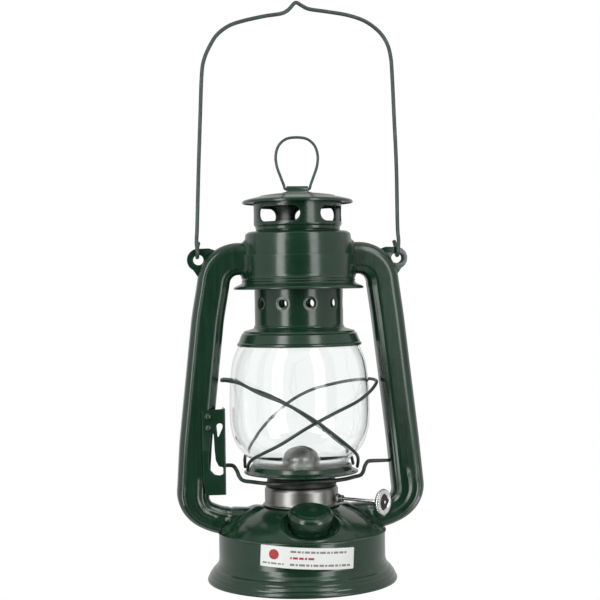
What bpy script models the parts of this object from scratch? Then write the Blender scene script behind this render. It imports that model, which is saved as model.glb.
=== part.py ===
"""Tubular kerosene lantern, built as separate pressed-steel, wire and glass pieces.

Metres, +Z up. The origin is the centre of the foot on the surface that it stands on, the air
tubes lie along X and the filler is at the front, -Y. Outlines are written in millimetres and
scaled once, where the meshes are made.
"""
from math import cos, pi, radians, sin

import bmesh
import bpy
from mathutils import Matrix, Vector

# ---------------------------------------------------------------- driving dimensions, millimetres
MM = 0.001
GAP = 0.3                   # between pieces that touch
SHEET = 0.8                 # pressed steel sheet
LARGE_STEPS = 24            # sides of the large turned pieces
SMALL_STEPS = 16            # sides of the small turned pieces

FOOT_RADIUS = 57.5
FOOT_LIP = 3.0
TANK_RADIUS = 50.7
TANK_WALL_TOP = 29.3
DOME_TOP = 45.5
BURNER_HOLE_RADIUS = 20.9

BOTTOM_FLANGE_Z = (8.6, 13.0)

LABEL_Z = (14.9, 29.1)
LABEL_AZIMUTH = -4.0        # degrees from the front
LABEL_HALF_ANGLE = 31.2
LABEL_STEPS = 12

FILLER_TOP = (0.0, -38.5, 47.4)   # centre of the cap's top face
FILLER_TILT = 17.3                # degrees, forwards
FILLER_NECK_RADIUS = 9.5
FILLER_RECESS_RADIUS = 13.2
FILLER_RECESS_DEPTH = 12.6        # below the cap's top face

TUBE_DEPTH = 19.5           # across the tube, in the plane of both tubes
TUBE_WIDTH = 17.0           # front to back
TUBE_FOOT_SCALE = 0.84      # the tubes narrow towards the tank
TUBE_BEND = 15.0
TUBE_BEND_STEPS = 5
TUBE_LEAN = 6.3             # degrees from vertical
TUBE_FOOT_SLOPE = 25.0      # degrees below horizontal, where a tube runs into the tank
TUBE_TOP_Z = 196.0
TUBE_TOP_START = 31.0
TUBE_TOP_BEND_X = 37.0
TUBE_FOOT_BEND = (51.1, 56.35)
TUBE_FOOT_RUN = 20.8

CROWN_RADIUS = 32.7
CROWN_TOP = 212.3
CROWN_SEAM = 197.2
CROWN_BRIM_RADIUS = 39.7
CROWN_FLOOR = 177.0

SLEEVE_RADIUS = 27.0
SLEEVE_SHOULDER = 154.7
SLEEVE_TOP = 184.0
SLEEVE_HOLES = 10
SLEEVE_HOLE_RADIUS = 2.6
SLEEVE_HOLE_Z = 168.7
SLEEVE_HOLE_TURN = 6.3      # degrees from the front

NECK_RADIUS = 24.6
NECK_Z = (180.0, 214.6)
COLLAR_RADIUS = 26.9
COLLAR_TOP = 231.6
COLLAR_SLOTS = 4
COLLAR_SLOT_ANGLE = 62.0
COLLAR_SLOT_TURN = 54.2     # degrees from the front
COLLAR_SLOT_Z = (217.9, 227.1)
CAP_RADIUS = 33.7

BAIL_AXIS_Z = 200.65
BAIL_WIRE_RADIUS = 1.1
BAIL_LOOP_RADIUS = 3.4
BAIL_LOOP_X = 61.6
EAR_HOLE = (61.0, 195.7)
EAR_HOLE_RADIUS = 3.2
EAR_RADIUS = 7.0
EAR_THICKNESS = 1.0

RING_AXIS_Z = 238.3
RING_WIRE_RADIUS = 0.85

GLASS = 1.5
PLATE_HOLES = 12
PLATE_HOLE_CIRCLE = 21.5
GUARD_WIRE_RADIUS = 0.9

LIFTER_AXIS_Z = 71.0
LIFTER_WIRE_RADIUS = 1.2

WICK_AZIMUTH = 48.0         # degrees from the front towards +X: the wick's width and the shaft
SHAFT_Z = 50.5
SHAFT_OFFSET = 4.7          # shaft's axis from the wick's middle plane
SHAFT_RADIUS = 1.0
SPUR_RADIUS = 3.2
SPUR_TEETH = 10
SPUR_PLACES = (-4.0, 4.0)
KNOB_PLACE = 55.0
KNOB_RADIUS = 7.85
WICK_SIZE = (14.2, 2.4)
WICK_TUBE_SIZE = (16.4, 4.4)
WICK_TUBE_WALL = 0.7

BRACKET_FRONT = -9.8
BRACKET_RIVETS = ((-55.6, 100.6), (-55.4, 93.6))

# colour, metallic and roughness of each finish
FINISHES = {
    "enamel": ((0.018, 0.062, 0.036), 0.0, 0.22),
    "bare_steel": ((0.42, 0.41, 0.40), 1.0, 0.38),
    "galvanised": ((0.62, 0.63, 0.64), 1.0, 0.30),
    "dark_wire": ((0.05, 0.085, 0.065), 0.2, 0.42),
    "spring_steel": ((0.30, 0.30, 0.31), 1.0, 0.35),
    "glass": ((0.95, 0.97, 0.97), 0.0, 0.02),
    "wick": ((0.80, 0.76, 0.66), 0.0, 0.90),
    "cork": ((0.45, 0.30, 0.18), 0.0, 0.85),
    "label": ((0.86, 0.86, 0.84), 0.0, 0.45),
}

MERGE = 1e-6
SMOOTH_ANGLE = radians(35)


# ---------------------------------------------------------------- helpers
def clear_scene():
    for old in list(bpy.data.objects):
        bpy.data.objects.remove(old, do_unlink=True)


def material(node, finish):
    colour, metallic, roughness = FINISHES[finish]
    made = bpy.data.materials.new(f"{node}_{finish}")
    made.use_nodes = True
    shader = made.node_tree.nodes["Principled BSDF"]
    shader.inputs["Base Color"].default_value = (*colour, 1.0)
    shader.inputs["Metallic"].default_value = metallic
    shader.inputs["Roughness"].default_value = roughness
    if finish == "glass":
        shader.inputs["Transmission Weight"].default_value = 1.0
    return made


def axis_empty(name, place):
    """An empty on a joint's axis, which carries the pieces that turn or slide there."""
    empty = bpy.data.objects.new(name, None)
    empty.location = Vector(place) * MM
    empty.empty_display_size = 0.01
    bpy.context.collection.objects.link(empty)
    return empty


def place_object(node, data, finish, parent=None):
    piece = bpy.data.objects.new(node, data)
    bpy.context.collection.objects.link(piece)
    if finish:
        data.materials.append(material(node, finish))
    else:
        piece.hide_render = True
        piece.display_type = "WIRE"
    if parent:
        piece.parent = parent
        piece.matrix_parent_inverse = Matrix.Translation(-parent.location)
    return piece


def finish_mesh(node, shape, finish, parent=None, frame=None):
    """Turn a bmesh in millimetres into an object in metres."""
    bmesh.ops.remove_doubles(shape, verts=shape.verts, dist=MERGE)
    bmesh.ops.recalc_face_normals(shape, faces=shape.faces)
    if frame:
        shape.transform(frame)
    shape.transform(Matrix.Scale(MM, 4))
    mesh = bpy.data.meshes.new(node)
    shape.to_mesh(mesh)
    shape.free()
    mesh.shade_smooth()
    mesh.set_sharp_from_angle(angle=SMOOTH_ANGLE)
    return place_object(node, mesh, finish, parent)


def add_ring_faces(shape, rings, closed_rings=True):
    """Quads between neighbouring rings of vertices."""
    pairs = list(zip(rings, rings[1:]))
    if closed_rings:
        pairs.append((rings[-1], rings[0]))
    for low, high in pairs:
        count = max(len(low), len(high))
        for i in range(count):
            j = (i + 1) % count
            corners = [low[i % len(low)], low[j % len(low)], high[j % len(high)], high[i % len(high)]]
            unique = list(dict.fromkeys(corners))
            if len(unique) > 2:
                shape.faces.new(unique)


def turned(node, outline, finish, steps=LARGE_STEPS, parent=None, frame=None):
    """A piece turned about Z from a closed outline of (radius, height) points."""
    shape = bmesh.new()
    rings = []
    for radius, height in outline:
        if radius == 0:
            rings.append([shape.verts.new((0, 0, height))])
            continue
        angles = [2 * pi * i / steps for i in range(steps)]
        rings.append([shape.verts.new((radius * cos(a), radius * sin(a), height)) for a in angles])
    on_axis = outline[0][0] == 0 and outline[-1][0] == 0
    add_ring_faces(shape, rings, closed_rings=not on_axis)
    return finish_mesh(node, shape, finish, parent, frame)


def extruded(node, outline, low, high, finish, parent=None, frame=None):
    """A flat piece: a closed outline of (x, z) points, between two values of y."""
    shape = bmesh.new()
    front = [shape.verts.new((x, low, z)) for x, z in outline]
    back = [shape.verts.new((x, high, z)) for x, z in outline]
    shape.faces.new(front)
    shape.faces.new(back)
    for i in range(len(outline)):
        j = (i + 1) % len(outline)
        shape.faces.new((front[i], front[j], back[j], back[i]))
    return finish_mesh(node, shape, finish, parent, frame)


def block(node, low, high, finish, parent=None, frame=None):
    outline = [(low[0], low[2]), (high[0], low[2]), (high[0], high[2]), (low[0], high[2])]
    return extruded(node, outline, low[1], high[1], finish, parent, frame)


def cylinder(node, start, end, radius, finish=None, steps=16, parent=None):
    """A plain round bar between two points; with no finish it is a cutter."""
    line = Vector(end) - Vector(start)
    turn = line.to_track_quat("Z", "Y").to_matrix().to_4x4()
    frame = Matrix.Translation(Vector(start)) @ turn
    outline = [(0, 0), (radius, 0), (radius, line.length), (0, line.length)]
    return turned(node, outline, finish, steps, parent, frame)


def wire(node, points, radius, finish, parent=None, sides=8):
    """A round wire along a list of points."""
    curve = bpy.data.curves.new(node, "CURVE")
    curve.dimensions = "3D"
    curve.bevel_depth = radius * MM
    curve.bevel_resolution = (sides - 4) // 2
    curve.use_fill_caps = True
    curve.resolution_u = 1
    curve.render_resolution_u = 0
    spline = curve.splines.new("POLY")
    spline.points.add(len(points) - 1)
    for target, point in zip(spline.points, points):
        target.co = (*(Vector(point) * MM), 1.0)
    return place_object(node, curve, finish, parent)


def smooth_path(points, per_span):
    """Points on a Catmull-Rom curve through the given points."""
    anchors = [Vector(p) for p in points]
    anchors = [2 * anchors[0] - anchors[1], *anchors, 2 * anchors[-1] - anchors[-2]]
    path = []
    for before, start, end, after in zip(anchors, anchors[1:], anchors[2:], anchors[3:]):
        for step in range(per_span):
            t = step / per_span
            linear = (end - before) * t
            square = (2 * before - 5 * start + 4 * end - after) * t * t
            cubic = (3 * start - before - 3 * end + after) * t * t * t
            path.append(start + (linear + square + cubic) / 2)
    path.append(anchors[-2])
    return path


def cut(piece, cutter, operation="DIFFERENCE"):
    modifier = piece.modifiers.new(cutter.name, "BOOLEAN")
    modifier.operation = operation
    modifier.solver = "EXACT"
    modifier.object = cutter


def arc(centre, radius, start, end, steps):
    """Points (x, z) on an arc, with angles in degrees from +X."""
    angles = [radians(start + (end - start) * i / steps) for i in range(steps + 1)]
    return [(centre[0] + radius * cos(a), centre[1] + radius * sin(a)) for a in angles]


def shell(outer, thickness):
    """Close an open outline into a sheet: the outline, and the same line moved to its left."""
    points = [Vector(p) for p in outer]
    inner = []
    for i, point in enumerate(points):
        before = (point - points[i - 1]).normalized() if i else None
        after = (points[i + 1] - point).normalized() if i + 1 < len(points) else None
        before = before or after
        after = after or before
        normals = [Vector((-d.y, d.x)) for d in (before, after)]
        mitre = (normals[0] + normals[1]).normalized()
        inner.append(point + mitre * thickness / max(mitre.dot(normals[0]), 0.5))
    return [tuple(p) for p in points] + [tuple(p) for p in reversed(inner)]


def around(azimuth, radius, height):
    """A point at an azimuth in degrees from the front, -Y, towards +X."""
    return (radius * sin(radians(azimuth)), -radius * cos(radians(azimuth)), height)


# ---------------------------------------------------------------- air tubes
def tube_path(side):
    """Centre line of an air tube in the XZ plane: (x, z, scale of the section)."""
    lean_end = TUBE_LEAN
    top = [(TUBE_TOP_START, TUBE_TOP_Z)]
    top += arc((TUBE_TOP_BEND_X, TUBE_TOP_Z - TUBE_BEND), TUBE_BEND, 90, lean_end, TUBE_BEND_STEPS)
    foot = arc(TUBE_FOOT_BEND, TUBE_BEND, lean_end, TUBE_FOOT_SLOPE - 90, TUBE_BEND_STEPS)
    slope = radians(TUBE_FOOT_SLOPE)
    last = (foot[-1][0] - TUBE_FOOT_RUN * cos(slope), foot[-1][1] - TUBE_FOOT_RUN * sin(slope))
    points = [(x, z, 1.0) for x, z in top]
    for i, (x, z) in enumerate(foot):
        points.append((x, z, 1 + (TUBE_FOOT_SCALE - 1) * i / (len(foot) - 1)))
    points.append((*last, TUBE_FOOT_SCALE))
    return [(side * x, z, scale) for x, z, scale in points]


def rounded_section(depth, width, corner, per_corner=2):
    """A closed rounded rectangle of (across, along y) points."""
    points = []
    for index, (sx, sy) in enumerate(((1, 1), (-1, 1), (-1, -1), (1, -1))):
        centre = (sx * (depth / 2 - corner), sy * (width / 2 - corner))
        points += arc(centre, corner, 90 * index, 90 * (index + 1), per_corner)
    return points


def section_rings(shape, path, section):
    rings = []
    for i, (x, z, scale) in enumerate(path):
        behind = Vector(path[max(i - 1, 0)][:2])
        ahead = Vector(path[min(i + 1, len(path) - 1)][:2])
        along = (ahead - behind).normalized()
        across = Vector((-along.y, along.x))
        ring = []
        for a, b in section:
            ring.append(shape.verts.new((x + across.x * a * scale, b * scale, z + across.y * a * scale)))
        rings.append(ring)
    return rings


def air_tube(node, side):
    """A hollow tube from the crown down into the tank's dome, open at both ends."""
    path = tube_path(side)
    shape = bmesh.new()
    outer = section_rings(shape, path, rounded_section(TUBE_DEPTH, TUBE_WIDTH, 6.0))
    bore = rounded_section(TUBE_DEPTH - 2 * SHEET, TUBE_WIDTH - 2 * SHEET, 6.0 - SHEET)
    inner = section_rings(shape, path, bore)
    add_ring_faces(shape, outer, closed_rings=False)
    add_ring_faces(shape, inner, closed_rings=False)
    add_ring_faces(shape, [outer[0], inner[0]], closed_rings=False)
    add_ring_faces(shape, [outer[-1], inner[-1]], closed_rings=False)
    return finish_mesh(node, shape, "enamel")


def tube_clearance(node, side):
    """Cutter: the tube's outer shape with the gap all round, for the pieces it runs into."""
    path = tube_path(side)
    first = (path[0][0] - side * 4, path[0][1], 1.0)
    run = Vector((path[-1][0] - path[-2][0], path[-1][1] - path[-2][1])).normalized() * 4
    last = (path[-1][0] + run.x, path[-1][1] + run.y, TUBE_FOOT_SCALE)
    shape = bmesh.new()
    section = rounded_section(TUBE_DEPTH + 2.4 * GAP, TUBE_WIDTH + 2.4 * GAP, 6.0 + GAP)
    rings = section_rings(shape, [first, *path, last], section)
    add_ring_faces(shape, rings, closed_rings=False)
    shape.faces.new(rings[0])
    shape.faces.new(rings[-1])
    return finish_mesh(node, shape, None)


def bail_ear(node, side, tube_cutter):
    """The flat ear on a tube's top bend, with the hole that the bail hooks through."""
    x, z = EAR_HOLE
    lobe = arc((x, z), EAR_RADIUS, -70, 95, 10)
    root = [(x - 7.5, z + 6.6), (x - 12.0, z + 3.0), (x - 12.0, z - 6.0), (x - 2.0, z - 12.0)]
    outline = [(side * px, pz) for px, pz in lobe + root]
    ear = extruded(node, outline, -EAR_THICKNESS / 2, EAR_THICKNESS / 2, "enamel")
    hole = cylinder(f"{node}_hole_cutter", (side * x, -2, z), (side * x, 2, z), EAR_HOLE_RADIUS)
    cut(ear, hole)
    cut(ear, tube_cutter)
    return ear


# ---------------------------------------------------------------- tank
def filler_frame():
    """Local frame of the filler: +Z out along its axis, origin at the cap's top face."""
    return Matrix.Translation(Vector(FILLER_TOP)) @ Matrix.Rotation(radians(FILLER_TILT), 4, "X")


def dome_line(shrink=0.0):
    """The dome's outer line from the rim to the burner hole, moved inwards by shrink."""
    line = [(50.2, 30.6), (44.0, 35.6), (37.0, 40.0), (30.0, 43.2), (25.0, 44.9), (21.5, DOME_TOP)]
    return [(r - 0.45 * shrink, z - 0.9 * shrink) for r, z in line]


def build_tank(tube_cutters):
    foot = [(FOOT_RADIUS - FOOT_LIP, 0.0), (FOOT_RADIUS, 0.0), (FOOT_RADIUS, 2.2), (55.7, 4.4),
            (55.2, 6.0), (53.4, 8.0), (52.9, 9.6), (TANK_RADIUS, 12.2), (TANK_RADIUS, TANK_WALL_TOP)]
    back = [(r - SHEET, z) for r, z in reversed(foot[4:])]
    turned("tank_wall", foot + back + [(FOOT_RADIUS - FOOT_LIP, 1.6)], "enamel")

    flange = TANK_RADIUS - SHEET - GAP
    low, high = BOTTOM_FLANGE_Z
    bore = flange - SHEET
    dish = [(0, 9.4), (30, 10.0), (44, 11.0), (bore, high - 1.2), (bore, low), (flange, low)]
    dish_top = [(flange, high), (43.7, 11.8), (30, 10.8), (0, 10.2)]
    turned("tank_bottom", dish + dish_top, "enamel")

    rim = [(0, 26.0), (flange, 26.0), (flange, 29.6), (51.2, 29.6), (51.2, 30.4)]
    dome = turned("tank_top", rim + dome_line() + [(0, DOME_TOP)], "enamel")
    hollow = [(0, 25.0), (flange - SHEET, 25.0), (flange - SHEET, 30.2)]
    hollow += dome_line(SHEET)[1:] + [(0, DOME_TOP - SHEET)]
    inside = turned("dome_hollow_cutter", hollow, None)
    frame = filler_frame()
    depth = FILLER_RECESS_DEPTH
    recess = [(0, -depth), (FILLER_RECESS_RADIUS, -depth), (FILLER_RECESS_RADIUS, 12), (0, 12)]
    recess_cutter = turned("filler_recess_cutter", recess, None, 22, frame=frame)
    depth += SHEET
    wide = FILLER_RECESS_RADIUS + SHEET
    backing = [(0, -depth), (wide, -depth), (wide, 12), (0, 12)]
    backing_cutter = turned("filler_backing_cutter", backing, None, 22, frame=frame)
    cut(inside, backing_cutter)
    cut(dome, recess_cutter)
    cut(dome, inside)
    neck_hole = [(0, -20), (FILLER_NECK_RADIUS + GAP, -20), (FILLER_NECK_RADIUS + GAP, 2), (0, 2)]
    cut(dome, turned("filler_hole_cutter", neck_hole, None, 20, frame=frame))
    steps = LARGE_STEPS + 2
    cut(dome, cylinder("burner_hole_cutter", (0, 0, 38), (0, 0, 50), BURNER_HOLE_RADIUS, steps=steps))
    for cutter in tube_cutters:
        cut(dome, cutter)

    bore = FILLER_NECK_RADIUS - 0.9
    neck = [(bore, -16.0), (FILLER_NECK_RADIUS, -16.0), (FILLER_NECK_RADIUS, -3.3), (bore, -3.3)]
    turned("filler_neck", neck, "enamel", SMALL_STEPS, frame=frame)
    seat = BURNER_HOLE_RADIUS - GAP
    turned("burner_seat_ring", [(seat - 1, 41.0), (seat, 41.0), (seat, 48.0), (seat - 1, 48.0)], "bare_steel")


def build_label():
    """A thin closed strip that follows the tank's wall."""
    label = []
    for radius, sign in ((TANK_RADIUS + GAP, 1), (TANK_RADIUS + 2 * GAP, -1)):
        for i in range(LABEL_STEPS + 1):
            turn = sign * LABEL_HALF_ANGLE * (1 - 2 * i / LABEL_STEPS)
            label.append(around(LABEL_AZIMUTH + turn, radius, 0)[:2])
    shape = bmesh.new()
    low = [shape.verts.new((x, y, LABEL_Z[0])) for x, y in label]
    high = [shape.verts.new((x, y, LABEL_Z[1])) for x, y in label]
    count = len(label)
    for i in range(count):
        j = (i + 1) % count
        shape.faces.new((low[i], low[j], high[j], high[i]))
    for i in range(count // 2 - 1):
        j = count - 1 - i
        shape.faces.new((low[i], low[i + 1], low[j - 1], low[j]))
        shape.faces.new((high[i], high[i + 1], high[j - 1], high[j]))
    finish_mesh("label", shape, "label")


def build_filler_cap():
    """The screw cap and its seal; both sit on an empty on the filler's axis."""
    frame = filler_frame()
    axis = axis_empty("filler_axis", FILLER_TOP)
    skirt = [(9.9, -11.8), (10.8, -11.8), (11.9, -8.4), (14.0, -2.8), (13.6, -1.2), (12.0, -0.4), (0, 0)]
    under = [(0, -1.0), (11.6, -1.3), (12.2, -1.9), (12.6, -3.0), (11.0, -8.0), (9.9, -10.8)]
    turned("filler_cap", [skirt[-1], *reversed(skirt[:-1]), *reversed(under[1:]), under[0]], "enamel",
           20, axis, frame)
    seal = [(0, -3.0), (10.4, -3.0), (10.4, -1.7), (0, -1.7)]
    turned("filler_seal", seal, "cork", SMALL_STEPS, axis, frame)


# ---------------------------------------------------------------- crown, hood and top ring
def build_crown(tube_cutters):
    top = CROWN_TOP
    wall = shell([(25.4, top), (29.4, top), (31.4, top - 1.4), (32.3, top - 3.8),
                  (CROWN_RADIUS, top - 7.0), (CROWN_RADIUS, CROWN_SEAM - 2.6)][::-1], SHEET)
    upper = turned("crown_upper", wall, "enamel")
    outer = CROWN_RADIUS + GAP + SHEET
    brim = CROWN_BRIM_RADIUS
    skirt = [(outer, CROWN_SEAM + 0.6), (outer, 184.2), (35.2, 181.6), (brim - 0.6, 179.0), (brim, 178.3),
             (brim - 0.3, CROWN_FLOOR), (27.6, CROWN_FLOOR)]
    under = [(27.6, CROWN_FLOOR + SHEET), (37.2, CROWN_FLOOR + SHEET + 0.3), (34.3, 181.0),
             (outer - SHEET, 183.9), (outer - SHEET, CROWN_SEAM + 0.6)]
    lower = turned("crown_lower", skirt + under, "enamel")
    for cutter in tube_cutters:
        cut(upper, cutter)
        cut(lower, cutter)

    turns = 4
    per_turn = 12
    low, high = SLEEVE_TOP + 1.0, CROWN_TOP - SHEET - 1.0
    coil = []
    for i in range(turns * per_turn + 1):
        share = i / (turns * per_turn)
        coil.append(around(360 * turns * share, 27.7, low + (high - low) * share))
    wire("hood_spring", coil, 0.6, "spring_steel", sides=4)


def build_hood():
    guide = axis_empty("hood_guide", (0, 0, SLEEVE_SHOULDER))
    rim = [(36.8, 143.4), (37.6, 143.0), (38.0, 143.7), (37.9, 144.6), (37.2, 145.2), (35.0, 150.3),
           (33.6, 151.6), (SLEEVE_RADIUS + 0.5, SLEEVE_SHOULDER - 0.7)]
    back = [(SLEEVE_RADIUS + 0.5, SLEEVE_SHOULDER - 1.5), (33.2, 150.8), (34.2, 149.9), (36.5, 144.9)]
    turned("globe_bell", rim + back, "enamel", parent=guide)

    bore = SLEEVE_RADIUS - SHEET
    foot = SLEEVE_SHOULDER - 0.4
    seat = SLEEVE_TOP - 1.0
    sleeve = [(bore, foot - 0.8), (SLEEVE_RADIUS, foot - 0.8), (SLEEVE_RADIUS, seat), (29.5, seat),
              (29.5, SLEEVE_TOP), (NECK_RADIUS + GAP, SLEEVE_TOP), (NECK_RADIUS + GAP, seat),
              (bore, SLEEVE_TOP - 1.6)]
    chimney = turned("chimney_sleeve", sleeve, "enamel", parent=guide)
    for i in range(SLEEVE_HOLES):
        azimuth = SLEEVE_HOLE_TURN + 360 / SLEEVE_HOLES * i
        start = around(azimuth, SLEEVE_RADIUS - 4, SLEEVE_HOLE_Z)
        end = around(azimuth, SLEEVE_RADIUS + 4, SLEEVE_HOLE_Z)
        cut(chimney, cylinder(f"sleeve_hole_cutter_{i}", start, end, SLEEVE_HOLE_RADIUS, steps=10))

    bore = NECK_RADIUS - SHEET
    neck = [(bore, NECK_Z[0]), (NECK_RADIUS, NECK_Z[0]), (NECK_RADIUS, NECK_Z[1]), (bore, NECK_Z[1])]
    turned("hood_neck", neck, "enamel", parent=guide)
    foot = NECK_RADIUS + GAP + SHEET
    collar_line = [(foot, CROWN_TOP + 0.7), (foot + 0.2, 215.4), (COLLAR_RADIUS, 216.8),
                   (COLLAR_RADIUS, COLLAR_TOP)]
    collar = turned("vent_collar", shell(collar_line, SHEET), "enamel", parent=guide)
    low, high = COLLAR_SLOT_Z
    slot_radius = (high - low) / 2
    for i in range(COLLAR_SLOTS):
        azimuth = COLLAR_SLOT_TURN + 360 / COLLAR_SLOTS * i
        reach = COLLAR_RADIUS * sin(radians(COLLAR_SLOT_ANGLE / 2)) - slot_radius
        outline = arc((reach, 0), slot_radius, -90, 90, 6) + arc((-reach, 0), slot_radius, 90, 270, 6)
        turn = Matrix.Rotation(radians(azimuth), 4, "Z")
        frame = Matrix.Translation((0, 0, (low + high) / 2)) @ turn
        cut(collar, extruded(f"collar_slot_cutter_{i}", outline, -32, -15, None, frame=frame))

    brim = CAP_RADIUS
    roof = [(0, 236.0), (7.0, 236.0), (13.0, 235.6), (20.0, 234.3), (28.0, 232.7), (brim - 0.8, 231.4),
            (brim, 230.8), (brim, 229.5)]
    under = [(brim - SHEET, 229.5), (brim - SHEET - 0.4, 230.5), (28.0, 231.9), (20.0, 233.5), (13.0, 234.8),
             (0, 235.2)]
    turned("hood_cap", roof + under, "enamel", parent=guide)

    saddle_line = [(-4.6, 236.3), (4.6, 236.3), (4.6, 236.9), (1.9, 237.5)]
    saddle_line += arc((0, RING_AXIS_Z), 1.9, 0, 180, 8) + [(-1.9, 237.5), (-4.6, 236.9)]
    quarter = Matrix.Rotation(pi / 2, 4, "Z")
    saddle = extruded("ring_saddle", saddle_line, -6.6, 6.6, "enamel", guide, quarter)
    cut(saddle, cylinder("saddle_bore_cutter", (-9, 0, RING_AXIS_Z), (9, 0, RING_AXIS_Z), 1.2, steps=12))


def build_lifting_ring():
    hinge = axis_empty("ring_axis", (0, 0, RING_AXIS_Z))
    half = [(1.0, RING_AXIS_Z), (6.6, RING_AXIS_Z), (7.6, 238.8), (8.2, 240.6), (10.2, 246.0), (12.4, 252.0),
            (13.0, 258.4), (11.2, 264.6), (6.6, 268.8), (0, 269.85)]
    left = [(-x, 0, z) for x, z in half[:-1]]
    right = [(x, 0, z) for x, z in reversed(half)]
    wire("lifting_ring", left + right, RING_WIRE_RADIUS, "dark_wire", hinge, sides=6)


def build_bail():
    """One wire, hooked through both ears: each end turns round the ear's top strip."""
    hinge = axis_empty("bail_axis", (0, 0, BAIL_AXIS_Z))
    top = [(62.1, -2.6, 206.5), (61.8, 0, 216.0), (60.7, 0, 251.6), (58.4, 0, 308.0), (57.4, 0, 319.5),
           (54.7, 0, 328.0), (49.7, 0, 335.2), (41.5, 0, 341.3), (32.0, 0, 345.0), (19.0, 0, 347.0),
           (8.5, 0, 348.3), (4.0, 0, 350.6), (0, 0, 352.1)]
    loop = []
    for y, z in arc((0, BAIL_AXIS_Z), BAIL_LOOP_RADIUS, 360, 180, 8):
        loop.append((BAIL_LOOP_X, y, z))
    tip = [(60.4, BAIL_LOOP_RADIUS, 206.6), (61.2, BAIL_LOOP_RADIUS, 203.6)]
    half = tip + loop + top
    left = [(-x, y, z) for x, y, z in half]
    wire("bail_wire", left + list(reversed(half))[1:], BAIL_WIRE_RADIUS, "dark_wire", hinge)


# ---------------------------------------------------------------- globe and lifter
def build_globe_carrier():
    guide = axis_empty("globe_guide", (0, 0, 64.7))
    pan = [(13.2, 64.7), (30.0, 64.7), (30.0, 68.4), (31.2, 66.8), (34.6, 65.6), (34.8, 66.2), (32.0, 67.6),
           (30.7, 69.8), (30.2, 70.3), (29.5, 70.3), (29.2, 69.8), (29.2, 65.4), (13.2, 65.4)]
    plate = turned("globe_plate", pan, "enamel", parent=guide)
    for i in range(PLATE_HOLES):
        x, y, z = around(360 / PLATE_HOLES * (i + 0.5), PLATE_HOLE_CIRCLE, 60)
        cut(plate, cylinder(f"plate_hole_cutter_{i}", (x, y, 62), (x, y, 68), 1.6, steps=6))

    glass = [(28.6, 65.8), (28.8, 71.0), (34.6, 77.8), (38.7, 83.3), (41.7, 92.0), (42.3, 106.0),
             (41.9, 120.0), (39.8, 134.5), (36.0, 144.4), (33.4, 149.3)]
    turned("globe", shell(glass, GLASS), "glass", parent=guide)

    for name, side, spread in (("guard_wire_left", -1, 0.0), ("guard_wire_right", 1, 2.2)):
        rise = [(-33.6, 7.0, 68.4), (-33.2, 12.6, 73.2), (-31.2, 20.4, 77.0)]
        rise += [(-27.0, 29.0 + 0.4 * spread, 81.2), (-17.0, 40.0 + 0.8 * spread, 89.0)]
        rise += [(-2.6, 44.1 + spread, 99.0), (13.0, 42.2 + spread, 107.0), (29.0, 33.6 + spread, 113.0)]
        rise += [(39.0, 23.2 + spread, 116.6), (45.2, 11.0, 119.2), (46.8, 0.0, 120.0)]
        near = [(-side * x, -y, z) for x, y, z in rise]
        far = [(-side * x, y, z) for x, y, z in reversed(rise[:-1])]
        wire(name, smooth_path(near + far, 2), GUARD_WIRE_RADIUS, "dark_wire", guide, sides=6)


def build_lifter():
    hinge = axis_empty("lifter_axis", (0, 0, LIFTER_AXIS_Z))
    axis_z = LIFTER_AXIS_Z
    side = [(44.0, 0, axis_z), (41.4, -0.2, axis_z - 0.4), (39.4, -1.0, 68.0), (38.2, -2.2, 65.0),
            (36.0, -4.4, 63.0), (31.0, -9.0, 62.6), (25.0, -16.5, 62.6), (16.0, -22.4, 62.6),
            (0, -25.2, 62.6)]
    left = [(-x, y, z) for x, y, z in side[:-1]]
    arm = [(-48.9, 6.4, 77.6), (-48.9, 3.2, 74.6), (-48.8, 0.8, axis_z + 1.2), (-47.0, 0, axis_z)]
    bar = smooth_path(arm + left + list(reversed(side)), 2)
    wire("lift_wire", bar + [Vector((57.2, 0, axis_z))], LIFTER_WIRE_RADIUS, "dark_wire", hinge, sides=6)
    tab = [(7.6, 76.0), (8.6, 75.0), (14.6, 79.6), (16.2, 83.0), (15.2, 83.4), (13.8, 80.6), (8.2, 77.2)]
    quarter = Matrix.Rotation(pi / 2, 4, "Z")
    extruded("thumb_lever", tab, 46.6, 51.4, "enamel", hinge, quarter)


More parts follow.
